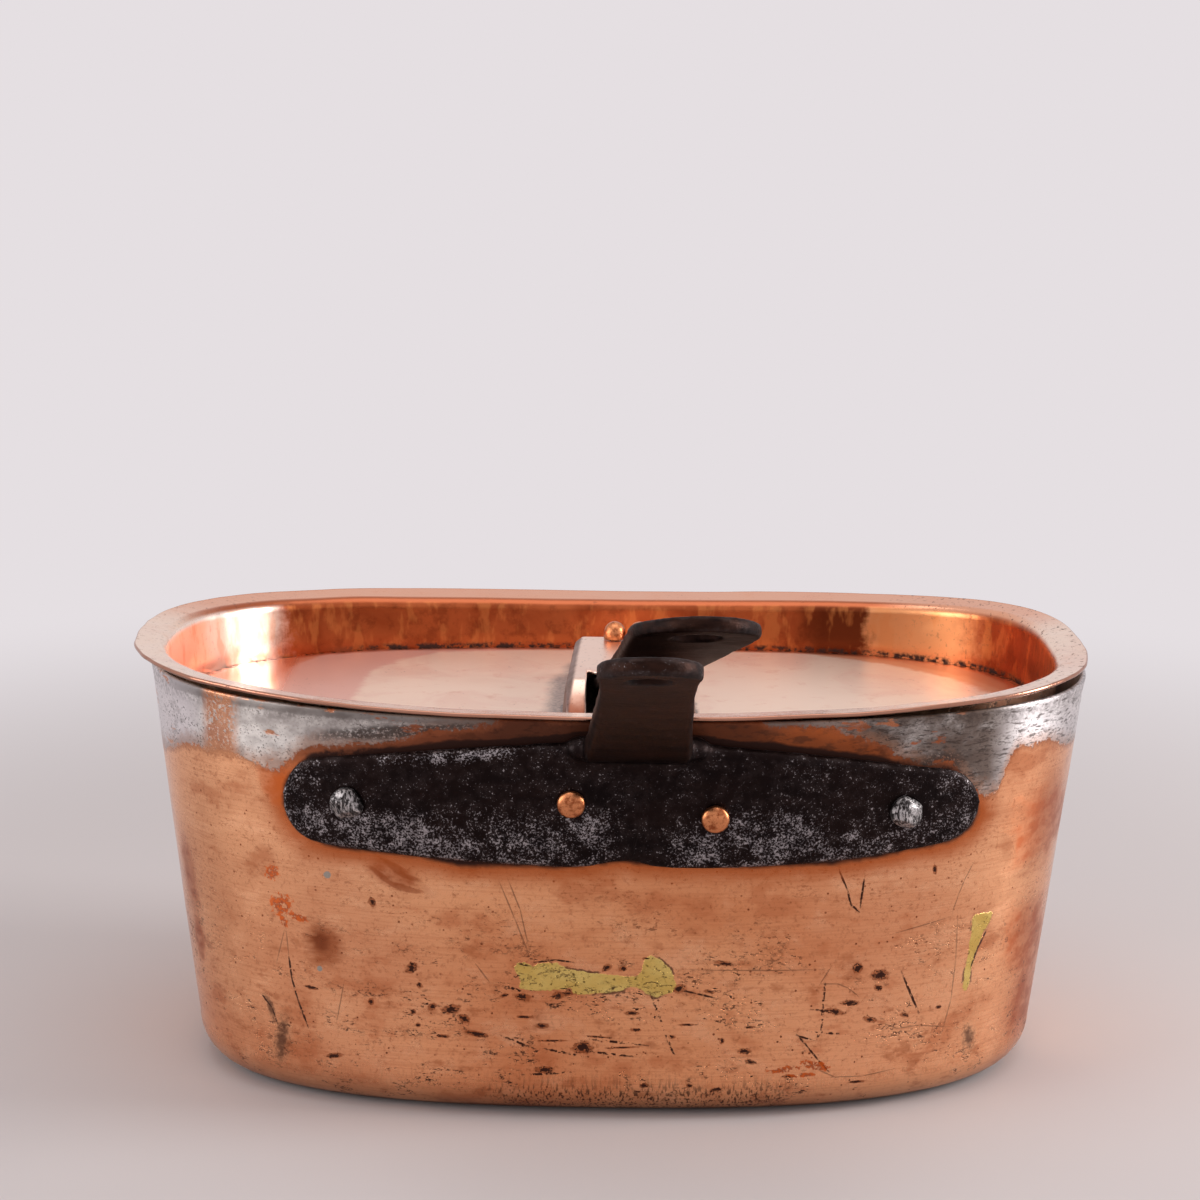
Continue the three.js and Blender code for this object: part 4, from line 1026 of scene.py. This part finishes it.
class ForgeHandle(bpy.types.Operator):
    """Forge the long handle with its two riveted wings"""

    bl_idname = "copper_pan.forge_handle"
    bl_label = "Forge handle"

    def execute(self, context):
        dents = (18, 0.4, 5), (6, 0.16, 6), (2, 0.05, 7)
        piece = forged_copy("forged_handle", "pan_handle", 0.75, 5, *dents)
        material = forged_iron("Black forged iron", context.scene.pan_finish, wings=True)
        place_piece(piece, material, "pan", "forged_iron", "pan_handle")
        return {"FINISHED"}


class ForgeLidHandle(bpy.types.Operator):
    """Forge the lid's flared strap with its eye"""

    bl_idname = "copper_pan.forge_lid_handle"
    bl_label = "Forge lid handle"

    def execute(self, context):
        piece = forged_copy("forged_lid_handle", "lid_handle", 0.7, 6, (14, 0.3, 11), (4, 0.1, 12))
        material = forged_iron("Brown forged iron", context.scene.pan_finish, wings=False)
        place_piece(piece, material, "lid", "forged_iron", "lid_handle")
        return {"FINISHED"}


# Rivets

RIVET_COLUMNS = 56
HEAD_ROWS, TAIL_ROWS = 22, 10
TAIL_FLATS, TAIL_SEED = 3, 50
DOME_TOP = 0.97 * math.pi / 2
DOME_FOOT = 0.3
FLAT_TILTS, FLAT_REACHES, FLAT_SHARE = (0.15, 1.15), (0.78, 0.92), 0.9
UNDER_SHARE = 0.5
ON_AXIS = 0.05 * MM
WIDER = 1.2
UPRIGHT = 0.9


def rivet_axis(points):
    """Middle and axis of a round solid: the axis is the way in which its spread is unlike the others."""
    middle = points.mean(0)
    spread, directions = np.linalg.eigh(np.cov((points - middle).T))
    alone = int(np.argmax(np.abs(spread - np.median(spread))))
    return middle, directions[:, alone]


def head_grid(radius, height, rows, facets, seed):
    """A rivet head over its seat: a low dome clipped by random flats.

    The dome's radius goes with the cosine of its turn, and its height with the sine from a low foot, up
    to just short of the pole. Each flat stops a point at its plane, so that the head looks peened. A
    short wall and a flat underside close it.
    """
    turn = np.linspace(0, DOME_TOP, rows)
    rise = DOME_FOOT + (1 - DOME_FOOT) * np.sin(turn)
    dome = circles(radius * np.cos(turn), height * rise, RIVET_COLUMNS)
    random = np.random.default_rng(seed)
    scale = np.array([radius, radius, height])
    for _ in range(facets):
        tilt, way = random.uniform(*FLAT_TILTS), random.uniform(0, FULL_TURN)
        normal = np.array([math.sin(tilt) * math.cos(way), math.sin(tilt) * math.sin(way), math.cos(tilt)])
        unit = dome / scale
        over = np.clip(unit @ normal - random.uniform(*FLAT_REACHES), 0, None)
        dome = (unit - over[..., None] * normal * FLAT_SHARE) * scale
    wall = dome[0] * [1, 1, 0]
    return np.concatenate([[wall * UNDER_SHARE, wall], dome])


def make_rivet(name, node, outwards, facets, seed):
    """Head, shank and tail as one closed profile turned round the CAD rivet's own axis."""
    points = np.unique(vertex_rows(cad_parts[node]).round(6), axis=0)
    middle, axis = rivet_axis(points)
    axis = axis if axis @ outwards > 0 else -axis
    along = (points - middle) @ axis
    away = np.linalg.norm(points - middle - np.outer(along, axis), axis=1)
    shank = away[away > ON_AXIS].min()
    wide = away > shank * WIDER
    seat = along[wide & (along > 0)].min()
    tail_seat = along[wide & (along < 0)].max()
    across = np.cross(axis, [0.0, 0.0, 1.0] if abs(axis[2]) < UPRIGHT else [1.0, 0.0, 0.0])
    across /= np.linalg.norm(across)
    basis = np.stack([across, np.cross(axis, across), axis])
    head = head_grid(away[along > 0].max(), along.max() - seat, HEAD_ROWS, facets, seed)
    head[..., 2] += seat
    tail_height = tail_seat - along.min()
    tail = head_grid(away[along < 0].max(), tail_height, TAIL_ROWS, TAIL_FLATS, seed + TAIL_SEED)
    tail[..., 2] = tail_seat - tail[..., 2]
    shank_rows = circles([shank, shank], [tail_seat, seat], RIVET_COLUMNS)
    grid = np.concatenate([tail[:0:-1], shank_rows, head[1:]])
    return grid_object(name, grid @ basis + middle, poles=True)


def rivet_metal(name, shade, dark, rough, folds):
    """Peened metal, clouded and scratched, with darker dirt in its small hollows and folds."""
    p = Paint(name)
    fold = p.noise(1.3, 4, 0.68, stretch=(1, 1, 3), shift=28, warp=1.2)
    mottle = p.noise(2.2, 4, 0.62, shift=8)
    grit = p.noise(0.5, 3, 0.6, shift=18)
    p.colour = p.mix(p.band(mottle, 0.44, 0.7), shade, dark)
    p.coat(dark, p.band(grit, 0.58, 0.68), 0.7)
    p.coat(dark, p.band(fold, 0.54, 0.44), folds)
    relief = p.relief((mottle, 0.1), (fold, 0.35 * folds), (grit, 0.02))
    return p.finish(1.0, p.scale_to(mottle, rough, rough + 0.2), relief)


class DriveRivets(bpy.types.Operator):
    """Drive the iron and copper rivets of the wings and the copper pair of the lid"""

    bl_idname = "copper_pan.drive_rivets"
    bl_label = "Drive rivets"

    def execute(self, context):
        copper = rivet_metal("Copper rivet", (216, 140, 94), (140, 70, 40), 0.24, 0.15)
        iron = rivet_metal("Iron rivet", (190, 184, 183), (36, 31, 31), 0.34, 0.95)
        sideways, upwards = np.array([0.0, -1.0, 0.0]), np.array([0.0, 0.0, 1.0])
        rows = (
            ("rivet_outer_left", "pan", iron, "iron_rivet", sideways, 9, 3),
            ("rivet_outer_right", "pan", iron, "iron_rivet", sideways, 9, 4),
            ("rivet_inner_left", "pan", copper, "copper_rivet", sideways, 0, 5),
            ("rivet_inner_right", "pan", copper, "copper_rivet", sideways, 0, 6),
            ("lid_rivet_left", "lid", copper, "copper_rivet", upwards, 0, 7),
            ("lid_rivet_right", "lid", copper, "copper_rivet", upwards, 0, 8),
        )
        for node, body, material, slot, outwards, facets, seed in rows:
            piece = make_rivet("driven_" + node, node, outwards, facets, seed)
            place_piece(piece, material, body, slot, node)
        return {"FINISHED"}


# Lid

# Places on the lid in millimetres, x and y; the bridge's own are off its middle line
PALE_ZONE = (
    (-88.8, 0.8), (-87.9, 21.1), (-85.5, 42.4), (-78, 55.3), (-64.5, 68.8), (-20, 77), (40.6, 75.6),
    (66.3, 73.6), (95.7, 57.3), (116.4, 36.6), (127.9, 13.5), (130, -10), (122, -40), (100, -58), (60, -68),
    (0, -70), (-60, -66), (-84, -40),
)
ORANGE_REFLECTION_EDGE = (
    (-118.7, 8), (-115.7, 41), (-104.2, 66.9), (-79.5, 74.7), (-21.2, 80.8), (60, 79), (100, 61), (122, 38),
    (134, 12), (134, -20), (126, -48), (100, -66), (0, -76), (-80, -72), (-110, -50), (-118, -20),
)
BRIDGE_MIDDLE = 3.2
BRIDGE_HALVES = ((-64, 21), (-51.5, 20.4), (-36, 18.2), (28, 15.8), (50, 15.4))
BRIDGE_FOOT = (
    (21, -64), (20.4, -51.5), (22.2, -36), (19.8, 28), (15.6, 38), (15.4, 50), (-15.4, 50), (-15.6, 38),
    (-19.8, 28), (-22.2, -36), (-20.4, -51.5), (-21, -64),
)


def lid_ring(angle, inwards, z, rise, shape):
    """A ring of the lid: the flange's oval moved inwards and bowed up towards the ends.

    The bow and the narrowing of the flange both go with the square of x over the half length.
    """
    outline = squared_oval(angle, shape.half_length, shape.half_depth, RIM_SQUARENESS)
    far = (outline[:, 0] / shape.half_length) ** 2
    inset = inwards - shape.narrower * min(inwards / shape.flange, 1) * far
    ring = inset_oval(angle, shape.half_length, shape.half_depth, RIM_SQUARENESS, inset)
    return np.column_stack([ring[:, 0] + LID_MIDDLE.x, ring[:, 1], z + rise * shape.bow * far])


# Rows of the collar's section, and shares of the flange's width where it has rows below and above
TURN_ROWS, EDGE_ROWS = 9, 7
INNER_WALL_ROWS, OUTER_WALL_ROWS = 10, 22
UNDER_SHARES, OVER_SHARES = np.linspace(0.9, 0.08, 8), np.linspace(0.12, 0.92, 9)
FLOOR_PLAY = 0.3 * MM
LIP_ROUND = (1.0 * MM, 0.3 * MM)
LIP_BEND = 0.7
LIP_SHARES = (0.1, 0.5, 1.0)


def collar_rows(shape):
    """Section of the collar as (inwards, height, rise): lip, wall, shoulder roll, flange and back."""
    top = LID_MIDDLE.z + LID_HALF.z - shape.bow - shape.dish
    sheet, roll, flange = shape.sheet, shape.shoulder, shape.flange
    turns = np.linspace(0, math.pi / 2, TURN_ROWS)
    wall = flange + roll
    foot = wall + shape.taper
    lip_top = FLOOR_LOW.z - FLOOR_PLAY
    shoulder_foot = top - roll
    lean = shape.taper / (shoulder_foot - lip_top)

    def rise(z):
        """Share of the flange's bow that a height on the wall takes part in."""
        return (z - lip_top) / (top - lip_top)

    rows = [(foot + shape.lip, lip_top - sheet, 0), (foot - sheet + LIP_ROUND[0], lip_top - sheet, 0)]
    rows += [(foot - sheet + LIP_ROUND[1], lip_top - LIP_BEND * sheet, 0)]
    inner = np.linspace(lip_top, shoulder_foot, INNER_WALL_ROWS)[:-1]
    rows += [(foot - sheet - lean * (z - lip_top), z, rise(z)) for z in inner]
    arc = roll - sheet
    rows += [(flange + arc * math.cos(t), shoulder_foot + arc * math.sin(t), 1) for t in turns]
    rows += [(flange * s, top - sheet + shape.dish * (1 - s), 1) for s in UNDER_SHARES]
    edge = np.linspace(-math.pi / 2, math.pi / 2, EDGE_ROWS)
    middle = top - sheet / 2 + shape.dish
    rows += [(sheet / 2 * (1 - math.cos(t)), middle + sheet / 2 * math.sin(t), 1) for t in edge]
    rows += [(flange * s, top + shape.dish * (1 - s), 1) for s in OVER_SHARES]
    rows += [(flange + roll * math.sin(t), shoulder_foot + roll * math.cos(t), 1) for t in turns]
    outer = np.linspace(shoulder_foot, lip_top + FLOOR_PLAY, OUTER_WALL_ROWS)[1:]
    rows += [(wall + lean * (shoulder_foot - z), z, rise(z)) for z in outer]
    rows += [(foot + shape.lip * s, lip_top, 0) for s in LIP_SHARES]
    return np.array(rows)


# Depths of the hammering, heights over the floor and places along x over which it sets in
FACET_DEPTH = 0.6 * MM
SAG = 0.35 * MM
OVER_FLOOR = (-1 * MM, 5 * MM)
LEFT_END = (95 * MM, 125 * MM)


def collar_grid(shape):
    """The collar's section carried round the oval, its wall hammered in upright facets, its edge uneven."""
    rows = collar_rows(shape)
    grid = np.stack([lid_ring(round_angles(shape.columns), *row, shape) for row in rows])
    towards = outwards_from(grid, LID_MIDDLE.x)
    planish = hollows(grid, (15, 0.45, 21), (7, 0.2, 22)) + hollows(grid * [1, 1, 0.2], (5.5, 0.35, 24))
    free = smooth_step(grid[..., 2] - FLOOR_HIGH.z, *OVER_FLOOR)
    deeper = 1 + smooth_step(-grid[..., 0], *LEFT_END)
    grid = grid - towards * (planish * free * deeper * FACET_DEPTH)[..., None]
    grid[..., 2] -= value_noise(grid, 21 * MM, 23) * free * SAG
    return grid, np.broadcast_to(rows[:, :1] / MM, grid.shape[:2])


def lid_metal(name, finish):
    """Start of the lid's polished copper, with pinker clouds and more orange stains, and its noises."""
    p = Paint(name)
    clouds = p.noise(30, 4, 0.6, shift=12, warp=0.6)
    stains = p.noise(7, 5, 0.65, shift=32)
    fine = p.noise(1.2, 4, 0.6, shift=52)
    p.colour = p.mix(p.both(p.band(clouds, 0.46, 0.66), 0.45), finish.lid_copper, (238, 192, 172))
    p.coat((214, 146, 114), p.band(stains, 0.56, 0.72), 0.3)
    return p, clouds, stains, fine


def collar_copper(finish):
    """Copper of the collar: orange wall of tarnish and painted dark reflection, with painted highlights, a
    painted dark band and painted facet glints; pale flange with its roll painted darker at the back as
    painted shade; grime at its foot and towards its ends.
    """
    p, clouds, stains, fine = lid_metal("Collar copper", finish)
    inwards = p.layer("inwards")
    wall = p.band(inwards, 12.2, 13.4)
    back = p.band(p.y, 10, 50)
    p.coat((234, 160, 120), back, 0.8)
    # Painted shade: the shoulder's roll is darkened at the back.
    roll = p.both(p.band(inwards, 9.6, 11.4), back, p.band(p.x, 120, 90))
    p.coat((168, 84, 48), roll, 0.9)
    # The wall's orange is tarnish and a painted dark reflection.
    wall_tarnish_and_reflection = p.mix(p.band(clouds, 0.4, 0.64), finish.orange_copper, (160, 74, 40))
    across = p.pushed(p.x, stains, 14.0)
    # Painted dark reflection: a darker band on the back wall.
    painted_dark_reflection = p.both(p.band(across, 62, 74), p.band(across, 96, 89))
    wall_tarnish_and_reflection = p.over(wall_tarnish_and_reflection, (92, 38, 20), painted_dark_reflection, back, 0.8)
    # Painted highlights: a patch on the back wall at the right, orange, and on the inner wall at the left
    # end, nearly white.
    lit = p.either(
        p.both(p.band(across, 88, 93), p.band(across, 132, 118), back, 0.9), p.band(across, -116, -128)
    )
    painted_highlight_tone = p.mix(p.band(p.x, -60, 20), (255, 236, 222), (250, 172, 116))
    wall_tarnish_and_reflection = p.over(wall_tarnish_and_reflection, (130, 60, 34), p.band(stains, 0.5, 0.66), 0.5)
    wall_tarnish_and_reflection = p.over(wall_tarnish_and_reflection, painted_highlight_tone, lit)
    # Painted glints: lighter upright streaks on the hammered facets.
    facets = p.band(p.noise(6, 3, 0.6, stretch=(1, 1, 2.6), shift=86), 0.5, 0.62)
    wall_tarnish_and_reflection = p.over(wall_tarnish_and_reflection, (240, 150, 86), facets, 0.35)
    p.coat((150, 82, 54), p.band(inwards, 1.0, 0.3), 0.8)
    p.coat(wall_tarnish_and_reflection, wall)
    foot = p.band(p.pushed(p.z, fine, 2.4), FLOOR_HIGH.z / MM + 1.8, FLOOR_HIGH.z / MM + 0.4)
    spotted = p.band(p.noise(1.7, 4, 0.7, shift=72), 0.58, 0.64)
    dirt = p.both(
        spotted,
        p.either(
            p.band(p.x, 92, 116),
            p.both(p.band(p.x, -100, -140), 0.5),
            p.both(p.band(clouds, 0.54, 0.66), 0.5),
        ),
        p.scale_to(wall, 1.0, 0.35),
    )
    dirt = p.either(
        p.both(foot, wall, p.band(p.noise(3, 3, 0.6, shift=61), 0.4, 0.56), p.band(p.x, -112, -84)),
        p.both(dirt, 0.8),
    )
    p.coat((62, 32, 22), dirt)
    roughness = p.blend(p.either(wall, roll), p.scale_to(p.band(stains, 0.35, 0.7), 0.16, 0.26), 0.3)
    roughness = p.blend(dirt, roughness, 0.55)
    return p.finish(p.scale_to(dirt, 1.0, 0.4), roughness, p.relief((stains, 0.1), (fine, 0.008)))


class RollCollar(bpy.types.Operator):
    """Roll the lid's flange, shoulder and collar wall"""

    bl_idname = "copper_pan.roll_collar"
    bl_label = "Roll collar"

    def execute(self, context):
        grid, inwards = collar_grid(context.scene.lid_shape)
        piece = grid_object("rolled_collar", grid, {"inwards": inwards}, wrap_rows=True)
        place_piece(piece, collar_copper(context.scene.pan_finish), "lid", "lid_copper", "lid_collar")
        return {"FINISHED"}


# Depths on the lid's floor, the width of its beaded edge, and the shares of its oval that have rows
FLOOR_GAP = 0.05 * MM
PLANISH_DEPTH = 0.24 * MM
BEAD_HEIGHT = 0.6 * MM
BEADED = (5 * MM, 1 * MM)
TOP_SHARES = np.append(np.linspace(0.03, 0.88, 38), 1 - np.geomspace(0.11, 0.003, 22))
FOOT_SHARES = (1.0, 0.97, 0.5, 0.05)


def floor_grid(shape):
    """A thin disc in the collar: rows shrink to the middle on top and below, round at the rim.

    The top has soft hollows from planishing, and low beads where its edge was worked into the collar.
    """
    inwards = shape.flange + shape.shoulder + shape.taper + FLOOR_GAP
    edge = lid_ring(round_angles(shape.columns), inwards, 0, 0, shape)
    middle = np.array([LID_MIDDLE.x, 0, 0])
    top, under = (
        np.stack([middle + (edge - middle) * s for s in way]) for way in (TOP_SHARES, FOOT_SHARES)
    )
    from_edge = (1 - TOP_SHARES[:, None]) * np.linalg.norm(edge - middle, axis=1)[None]
    beads = value_noise(top, 4 * MM, 33) * smooth_step(from_edge, *BEADED)
    planish = hollows(top, (26, 0.6, 31), (11, 0.4, 32))
    top[..., 2] = FLOOR_HIGH.z - PLANISH_DEPTH * planish - BEAD_HEIGHT * beads
    rim = edge[None] + [0, 0, (FLOOR_LOW.z + FLOOR_HIGH.z) / 2 - edge[0, 2]]
    under[..., 2] = FLOOR_LOW.z
    below = np.zeros((1 + len(FOOT_SHARES), shape.columns))
    return np.concatenate([top, rim, under]), np.concatenate([from_edge, below])


def floor_copper(finish):
    """Satin floor of the lid: pale in the middle, pinker and then orange towards the collar as its painted
    reflection, a dirty worked seam.
    """
    p, clouds, stains, fine = lid_metal("Polished floor copper", finish)
    # Painted reflection of the collar: outside the pale middle the floor turns pinker at the left and
    # orange at the right, and more orange again nearer the collar.
    pale_gap = p.pushed(p.layer("pale_gap"), stains, 7.0)
    outside = p.mix(p.band(p.x, 30, -50), (226, 160, 124), (234, 184, 168))
    p.coat(outside, p.band(pale_gap, -1.5, 2.5))
    orange_reflection_gap = p.pushed(p.layer("orange_reflection_gap"), stains, 6.0)
    p.coat((214, 130, 92), p.band(orange_reflection_gap, -1.0, 3.0), 0.75)
    seam = p.pushed(p.layer("seam_gap"), stains, 4.0)
    p.coat((206, 118, 76), p.band(seam, 6.0, 2.0), 0.7)
    grime = p.both(p.band(seam, 3.4, 1.2), p.band(p.noise(1.9, 4, 0.65, shift=82), 0.47, 0.58))
    spots = p.both(p.band(p.noise(1.4, 4, 0.7, shift=92), 0.64, 0.69), p.band(clouds, 0.5, 0.62), 0.6)
    dirt = p.either(grime, spots)
    p.coat((66, 34, 22), dirt)
    gap = p.pushed(p.layer("bridge_gap"), stains, 5.0)
    solder = p.either(p.band(gap, 2.6, 0.6), p.both(p.band(gap, 9.0, 3.0), p.band(p.x, -6, -14), 0.8))
    p.coat(p.mix(p.band(fine, 0.4, 0.6), (120, 110, 108), (168, 152, 146)), solder)
    shiny = p.band(p.x, -112, -119)
    roughness = p.blend(shiny, p.scale_to(stains, 0.3, 0.38), 0.16)
    roughness = p.blend(p.either(dirt, p.both(solder, 0.6)), roughness, 0.5)
    metallic = p.blend(p.either(shiny, p.band(seam, 8, 4)), 0.55, 0.95)
    return p.finish(metallic, roughness, p.relief((solder, 0.25), (fine, 0.01)))


class SetFloor(bpy.types.Operator):
    """Set the polished floor into the collar"""

    bl_idname = "copper_pan.set_floor"
    bl_label = "Set floor"

    def execute(self, context):
        grid, from_edge = floor_grid(context.scene.lid_shape)
        x, y = grid[..., 0].ravel() / MM, grid[..., 1].ravel() / MM
        layers = {
            "seam_gap": from_edge / MM,
            "pale_gap": outline_gap(x, y, PALE_ZONE),
            "orange_reflection_gap": outline_gap(x, y, ORANGE_REFLECTION_EDGE),
            "bridge_gap": outline_gap(x - BRIDGE_MIDDLE, y, BRIDGE_FOOT),
        }
        piece = grid_object("polished_floor", grid, layers, poles=True)
        place_piece(piece, floor_copper(context.scene.pan_finish), "lid", "lid_copper", "lid_floor")
        return {"FINISHED"}


def bridge_copper(finish):
    """Rubbed copper of the bridge: pale on top, redder down its front slope, grey solder on its skirts."""
    p, _, stains, fine = lid_metal("Bridge copper", finish)
    p.coat((240, 202, 184), 0.5)
    slope = p.band(p.pushed(p.y, stains, 6.0), -36, -46)
    p.coat((158, 88, 60), slope, 0.95)
    skirt = p.band(p.pushed(p.layer("skirt"), stains, 1.6), -0.6, 0.8)
    p.coat(p.mix(p.band(stains, 0.4, 0.6), (128, 112, 110), (96, 80, 78)), skirt, 0.85)
    # Painted shade: faces turned downwards and the sunk places in the slot are darkened, along with fine
    # spots of dirt.
    inside = p.band(p.layer("facing"), 0.0, -0.3)
    slot = p.band(p.layer("edge"), -0.5, -0.9)
    dirt = p.either(p.both(p.band(fine, 0.62, 0.7), 0.5), inside, slot)
    p.coat((48, 28, 22), dirt)
    rubbed = p.both(p.band(p.layer("edge"), 0.5, 0.9), 0.5)
    p.coat((250, 222, 208), rubbed)
    roughness = p.blend(p.either(skirt, dirt, slope), p.scale_to(stains, 0.24, 0.34), 0.56)
    metallic = p.scale_to(p.either(inside, slot), 1.0, 0.4)
    return p.finish(metallic, roughness, p.relief((stains, 0.12), (fine, 0.015)))


class BendBridge(bpy.types.Operator):
    """Bend the copper bridge that holds the lid's handle"""

    bl_idname = "copper_pan.bend_bridge"
    bl_label = "Bend bridge"

    def execute(self, context):
        piece = forged_copy("bent_bridge", "lid_bridge", 0.55, 3, (9, 0.16, 41))
        points = vertex_rows(piece)
        half = np.interp(points[:, 1] / MM, *np.array(BRIDGE_HALVES).T)
        add_layer(piece.data, "skirt", np.abs(points[:, 0] / MM - BRIDGE_MIDDLE) - half)
        add_layer(piece.data, "facing", vertex_rows(piece, "normal")[:, 2])
        place_piece(piece, bridge_copper(context.scene.pan_finish), "lid", "lid_copper", "lid_bridge")
        return {"FINISHED"}


# Stage

class SetStage(bpy.types.Operator):
    """Lay the pale floor, hang the soft lights and set up the camera"""

    bl_idname = "copper_pan.set_stage"
    bl_label = "Set stage"

    def execute(self, context):
        lay_floor()
        hang_lights()
        set_camera()
        context.scene.view_settings.view_transform = "Standard"
        return {"FINISHED"}


BACKDROP = (229, 223, 226)
STAGE_SHADE = (207, 200, 199)
STAGE_ROWS, STAGE_COLUMNS = 40, 96
STAGE_REACH = 6.0
STAGE_FADE = (0.3, 0.75)
STAGE_START = 0.02
ROOM_STRENGTH = 0.6
LAMP_AIM = Vector((0, 0, 0.07))
LAMPS = (
    ("right_window", (1.3, -0.1, 0.38), (0.35, 1.1), 17.0),
    ("left_fill", (-1.3, -0.5, 0.5), (0.9, 0.9), 7.5),
    ("top_soft", (0.0, -0.1, 1.7), (1.4, 1.4), 7.0),
)


def lay_floor():
    """A wide round floor that fades into the backdrop's colour away from the pan."""
    grid = circles(STAGE_REACH * np.linspace(STAGE_START, 1, STAGE_ROWS) ** 2, 0, STAGE_COLUMNS)
    quads, fans = face_list(STAGE_ROWS, STAGE_COLUMNS, wrap_rows=False, poles=True)
    mesh = bpy.data.meshes.new("pale_floor")
    places = grid.reshape(-1, 3).tolist() + [[0, 0, 0]]
    mesh.from_pydata(places, [], quads[:, ::-1].tolist() + fans[:STAGE_COLUMNS].tolist())
    mesh.update()
    net = Nodes(bpy.data.materials.new("Pale floor"))
    place = {0: net.add("ShaderNodeTexCoord").outputs["Object"]}
    away = net.add("ShaderNodeVectorMath", place, operation="LENGTH").outputs["Value"]
    share = net.both(net.band(away, *STAGE_FADE), net.seen_ray())
    matte = {"Base Color": srgb(*STAGE_SHADE), "Roughness": 0.9, "Specular IOR Level": 0.0}
    matte = net.add("ShaderNodeBsdfPrincipled", matte)
    glow = net.add("ShaderNodeEmission", {"Color": srgb(*BACKDROP)})
    net.show("ShaderNodeOutputMaterial", share, matte, glow)
    mesh.materials.append(net.owner)
    floor = placed("pale_floor", mesh)


def hang_lights():
    """A pale room: an even world, a tall window on the right, a weaker lamp on the left, one above."""
    net = Nodes(bpy.data.worlds.new("Pale room"))
    bpy.context.scene.world = net.owner
    seen = net.add("ShaderNodeBackground", {"Color": srgb(*BACKDROP)})
    lit = net.add("ShaderNodeBackground", {"Color": srgb(*BACKDROP), "Strength": ROOM_STRENGTH})
    net.show("ShaderNodeOutputWorld", net.seen_ray(), lit, seen)
    for name, place, size, power in LAMPS:
        lamp = bpy.data.lights.new(name, "AREA")
        lamp.shape = "RECTANGLE"
        lamp.size, lamp.size_y = size
        lamp.energy = power
        holder = placed(name, lamp)
        holder.location = place
        holder.rotation_euler = (LAMP_AIM - Vector(place)).to_track_quat("-Z", "Y").to_euler()
        holder.visible_camera = False


CAMERA_DISTANCE = 0.9
CAMERA_ELEVATION = math.radians(12.78)
CAMERA_ROLL = math.radians(0.62)
CAMERA_SIDE = -0.0065
CAMERA_AIM_HEIGHT = 0.135
FOCAL_LENGTH = 80.3
SENSOR = 36.0
FRAME_SHIFT = 0.0406


def set_camera():
    """The photograph's view: low, nearly square on, a little rolled, the pan below the middle."""
    camera = bpy.data.cameras.new("camera")
    camera.lens = FOCAL_LENGTH
    camera.sensor_width = SENSOR
    camera.shift_y = FRAME_SHIFT
    holder = placed("camera", camera)
    away = CAMERA_DISTANCE * math.cos(CAMERA_ELEVATION)
    above = CAMERA_DISTANCE * math.sin(CAMERA_ELEVATION)
    holder.location = (CAMERA_SIDE, -away, CAMERA_AIM_HEIGHT + above)
    turn = Matrix.Rotation(math.pi / 2 - CAMERA_ELEVATION, 4, "X") @ Matrix.Rotation(CAMERA_ROLL, 4, "Z")
    holder.rotation_euler = turn.to_euler()
    bpy.context.scene.camera = holder


# Panel and registration

OPERATORS = (
    RaiseBody, ForgeHandle, DriveRivets, RollCollar, SetFloor, BendBridge, ForgeLidHandle, SetStage
)


class CopperPanPanel(bpy.types.Panel):
    """Lists the pieces and their sizes and colours"""

    bl_idname = "VIEW3D_PT_copper_pan"
    bl_label = "Copper Pan"
    bl_space_type = "VIEW_3D"
    bl_region_type = "UI"
    bl_category = "Copper Pan"

    def draw(self, context):
        for operator in OPERATORS:
            self.layout.operator(operator.bl_idname)
        for group in (context.scene.pan_shape, context.scene.lid_shape, context.scene.pan_finish):
            box = self.layout.box()
            for name in group.bl_rna.properties.keys():
                if name not in {"rna_type", "name"}:
                    box.prop(group, name)


GROUPS = (("pan_shape", PanShape), ("lid_shape", LidShape), ("pan_finish", Finish))


def register():
    """Registers the property groups, operators and panel, and hangs the groups on the scene."""
    for _, group in GROUPS:
        bpy.utils.register_class(group)
    for operator in OPERATORS:
        bpy.utils.register_class(operator)
    bpy.utils.register_class(CopperPanPanel)
    for name, group in GROUPS:
        setattr(bpy.types.Scene, name, PointerProperty(type=group))


def unregister():
    """Takes back what register did, in reverse order."""
    for name, _ in GROUPS:
        delattr(bpy.types.Scene, name)
    bpy.utils.unregister_class(CopperPanPanel)
    for operator in reversed(OPERATORS):
        bpy.utils.unregister_class(operator)
    for _, group in reversed(GROUPS):
        bpy.utils.unregister_class(group)


def main():
    register()
    for operator in OPERATORS:
        family, action = operator.bl_idname.split(".")
        getattr(getattr(bpy.ops, family), action)()


if __name__ == "__main__":
    main()
